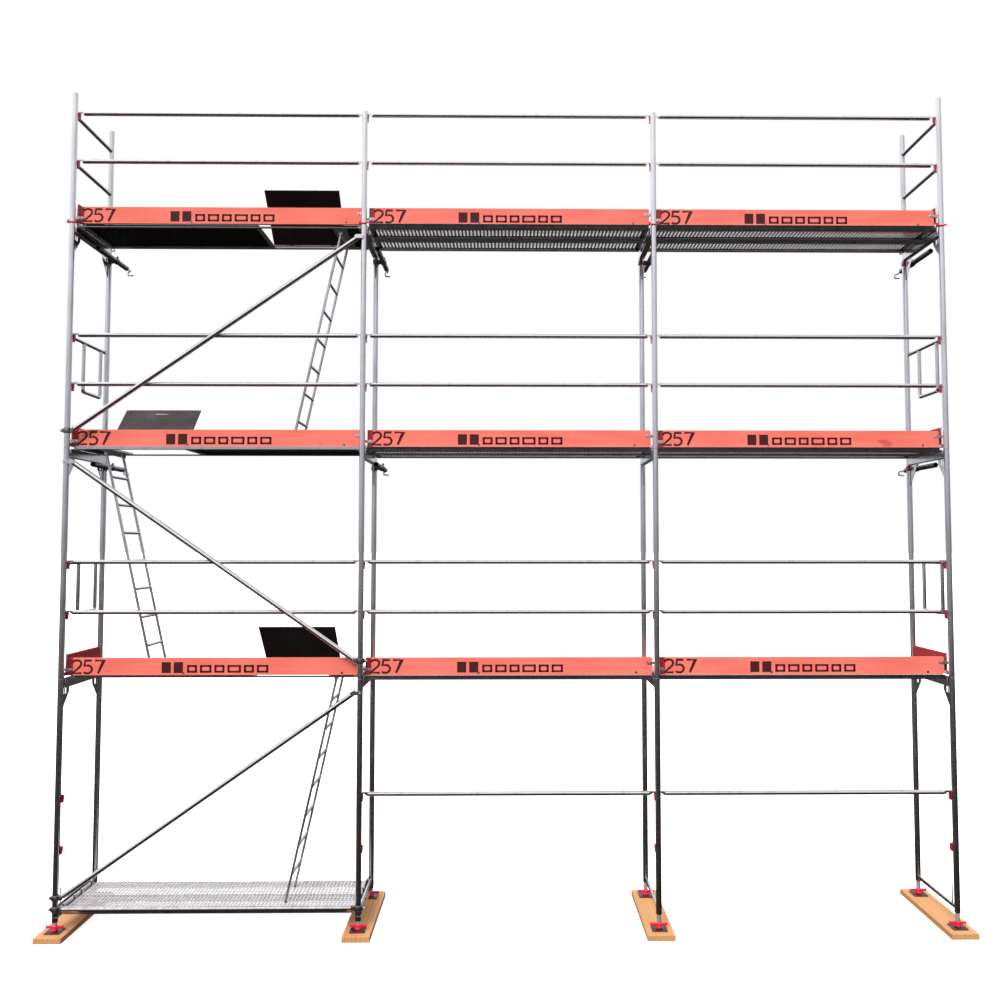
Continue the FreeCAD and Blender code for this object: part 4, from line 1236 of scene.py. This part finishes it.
def tie_coupler(line, level):
    """A right-angle coupler: two hinged clamps on one forged block, with red flap nuts."""
    s = Shape()
    x = LINES[line]
    z = JOINTS[level] - TIE_DROP
    tie_x = x + TIE_ASIDE
    clamp(s, (x, BACK, z - 24), (x, BACK, z + 24), 29.5, 27.5, 30.3)
    clamp(s, (tie_x, BACK - 24, z), (tie_x, BACK + 24, z), 29.5, 27.5, 30.3)
    box(s, x + 26, tie_x - 26, BACK - 20, BACK + 20, z - 20, z + 20, "casting", 4)
    box(s, x - 26, x - 4, BACK - 38, BACK - 24, z - 12, z + 12, "red_box", 3)
    rod(s, (x - 14, BACK - 37, z), (x - 14, BACK - 26, z), 7, "zinc", 16)
    hexagon(s, (x - 14, BACK - 38, z), (x - 14, BACK - 46, z), 11, "red")
    rod(s, (tie_x + 12, BACK, z + 26), (tie_x + 12, BACK, z + 46), 7, "zinc", 16)
    hexagon(s, (tie_x + 12, BACK, z + 30), (tie_x + 12, BACK, z + 39), 11, "red")
    return s


# ---------------------------------------------------------------- the whole object

BODY_OF = {
    node: body
    for body, nodes in frame["record"]["behaviour"]["bodies"].items()
    for node in nodes
}


def show(node, shapes):
    """One visible piece that stands for one CAD node and moves with its body."""
    whole = Shape()
    for shape in shapes:
        whole.join(shape)
    piece = bpy.data.objects.new(node + "_look", whole.mesh(node + "_look"))
    bpy.context.scene.collection.objects.link(piece)
    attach(piece, BODY_OF[node])
    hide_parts(node)


def build():
    """Shows every piece, node by node."""
    show("sole_boards", [sole_board(x) for x in LINES])
    show("base_jacks", [jack(x, y) for x in LINES for y in (FRONT, BACK)])
    for number, x in enumerate(LINES):
        for place, y in (("front", FRONT), ("back", BACK)):
            show("wing_nut_" + str(number + 1) + "_" + place, [wing_nut(x, y)])
        for lift in range(3):
            name = "frame_line_" + str(number + 1) + "_lift_" + str(lift + 1)
            show(name, [scaffold_frame(x, JOINTS[lift])])
    show("base_transoms", [base_transom(x) for x in LINES[:2]])
    show("base_ledger", [base_ledger()])
    show("guard_end_frames", [end_frame(x) for x in (LINES[0], LINES[3])])
    show("guard_posts", [guard_post(x) for x in LINES[1:3]])
    pins = [locking_pin(x, FRONT) for x in LINES] + [locking_pin(x, BACK) for x in (LINES[0], LINES[3])]
    show("locking_pins", pins)

    heights = [joint + up for joint in JOINTS for up in BOX_UP]
    show("rail_boxes", [rail_box(x, z) for x in LINES for z in heights])
    for level, joint in enumerate(JOINTS):
        wedges = [wedge(x, joint + up) for x in LINES for up in BOX_UP]
        show("rail_wedges_" + str(level), wedges)
    bays = list(zip(LINES, LINES[1:]))
    show("guardrails_base", [guardrail(a, b, BASE + BOX_UP[1]) for a, b in bays[1:]])
    fittings = []
    for level in (1, 2, 3):
        joint = JOINTS[level]
        rails = [guardrail(a, b, joint + up) for a, b in bays for up in BOX_UP]
        show("guardrails_level_" + str(level), rails)
        show("toeboards_level_" + str(level), [toeboard(bay, joint) for bay in range(3)])
        for bay, (a, b) in enumerate(bays):
            fittings.append(toeboard_fitting(a, 1, TOE_LEFT_GAPS[bay], joint + 58))
            fittings.append(toeboard_fitting(b, -1, 28, joint + 108))
        planks = [plank_pair(bay, joint, DECK_UP, joint - 2) for bay in (1, 2)]
        show("steel_planks_level_" + str(level), planks)
    show("toeboard_fittings", fittings)
    show("steel_planks_base", [plank_pair(0, BASE, 36, BASE + 66)])
    ends = [end_toeboard(x, joint) for joint in JOINTS[1:] for x in (LINES[0], LINES[3])]
    show("end_toeboards", ends)
    loops = []
    for joint in JOINTS[1:3]:
        loops += [end_guardrail(LINES[0], -1, joint), end_guardrail(LINES[3], 1, joint)]
    show("end_guardrails", loops)

    all_panels = []
    for level in (1, 2, 3):
        deck, panels, lid, ladder = deck_shapes(level)
        show("access_deck_" + str(level), [deck])
        show("hatch_lid_" + str(level), [lid])
        show("ladder_" + str(level), [ladder])
        all_panels.append(panels)
    show("access_panels", all_panels)

    zigzag = [(True, 0), (False, 1), (True, 2)]
    show("diagonal_braces", [brace(left, lift) for left, lift in zigzag])
    show("wall_ties", [wall_tie(line, level) for line, level in TIE_SPOTS])
    couplers = [brace_ends(left, lift) for left, lift in zigzag]
    couplers += [tie_coupler(line, level) for line, level in TIE_SPOTS]
    show("couplers", couplers)


# ---------------------------------------------------------------- studio


def add_floor():
    """A pale floor that shows white to the camera and throws no light on the object."""
    mesh = bpy.data.meshes.new("floor")
    corners = [(x * FLOOR_REACH, y * FLOOR_REACH, 0) for x, y in ((-1, -1), (1, -1), (1, 1), (-1, 1))]
    mesh.from_pydata(corners, [], [(0, 1, 2, 3)])
    floor = bpy.data.objects.new("floor", mesh)
    look = Look("pale_floor", roughness=0.9, specular=0.1)
    look.colour((0.93, 0.93, 0.93, 1.0))
    look.shader.inputs["Emission Color"].default_value = (1.0, 1.0, 1.0, 1.0)
    look.shader.inputs["Emission Strength"].default_value = 0.7
    mesh.materials.append(look.material)
    floor.location.z = -0.0005
    floor.visible_glossy = False
    floor.visible_diffuse = False
    bpy.context.scene.collection.objects.link(floor)


def add_sky():
    """A soft sky, dim below the horizon and toward +X, and plain white to the camera."""
    world = bpy.data.worlds.new("studio")
    world.use_nodes = True
    tree = Nodes(world.node_tree)
    place = tree.nodes.new("ShaderNodeTexCoord").outputs["Generated"]
    split = tree.nodes.new("ShaderNodeSeparateXYZ")
    tree.feed(split.inputs["Vector"], place)
    ramp = tree.nodes.new("ShaderNodeValToRGB")
    stops = [
        (0.36, (0.030, 0.026, 0.020)), (0.43, (0.055, 0.050, 0.044)), (0.47, (0.22, 0.21, 0.215)),
        (0.53, (0.62, 0.64, 0.69)), (0.64, (1.0, 1.02, 1.08)), (0.75, (1.45, 1.42, 1.42)),
    ]
    while len(ramp.color_ramp.elements) < len(stops):
        ramp.color_ramp.elements.new(0.5)
    for element, (position, colour) in zip(ramp.color_ramp.elements, stops):
        element.position = position
        element.color = (*colour, 1.0)
    tree.feed(ramp.inputs["Fac"], tree.spread(split.outputs["Z"], -1.0, 1.0))
    aside = tree.spread(split.outputs["X"], -0.2, 0.9, 1.0, 0.6)
    dim = {0: ramp.outputs["Color"], "Scale": aside}
    dimmed = tree.node("VectorMath", dim, "Vector", operation="SCALE")
    seen = tree.nodes.new("ShaderNodeLightPath").outputs["Is Camera Ray"]
    shown = tree.mix(seen, dimmed, (1.0, 1.0, 1.0))
    tree.feed(tree.nodes["Background"].inputs["Color"], shown)
    bpy.context.scene.world = world


def add_key():
    """One broad key light from high in front and a little to the left."""
    sun = bpy.data.lights.new("key", "SUN")
    sun.energy = 2.5
    sun.angle = math.radians(25)
    sun.color = (1.0, 0.985, 0.96)
    key = bpy.data.objects.new("key", sun)
    key.visible_glossy = False
    key.rotation_euler = (math.radians(48), 0, math.radians(-22))
    bpy.context.scene.collection.objects.link(key)


def add_camera():
    """The camera in front of the scaffold, near mid height."""
    lens = bpy.data.cameras.new("camera")
    lens.sensor_width = 36.0
    lens.lens = 32.077
    lens.shift_x = -0.01694
    lens.shift_y = 0.00104
    lens.clip_end = 2000.0
    camera = bpy.data.objects.new("camera", lens)
    camera.location = (-0.0197, -8.2526, 3.3245)
    camera.rotation_euler = (math.radians(92.8565), 0, math.radians(-0.6564))
    bpy.context.scene.collection.objects.link(camera)
    bpy.context.scene.camera = camera


build()
add_floor()
add_sky()
add_key()
add_camera()
bpy.context.scene.view_settings.view_transform = "Standard"
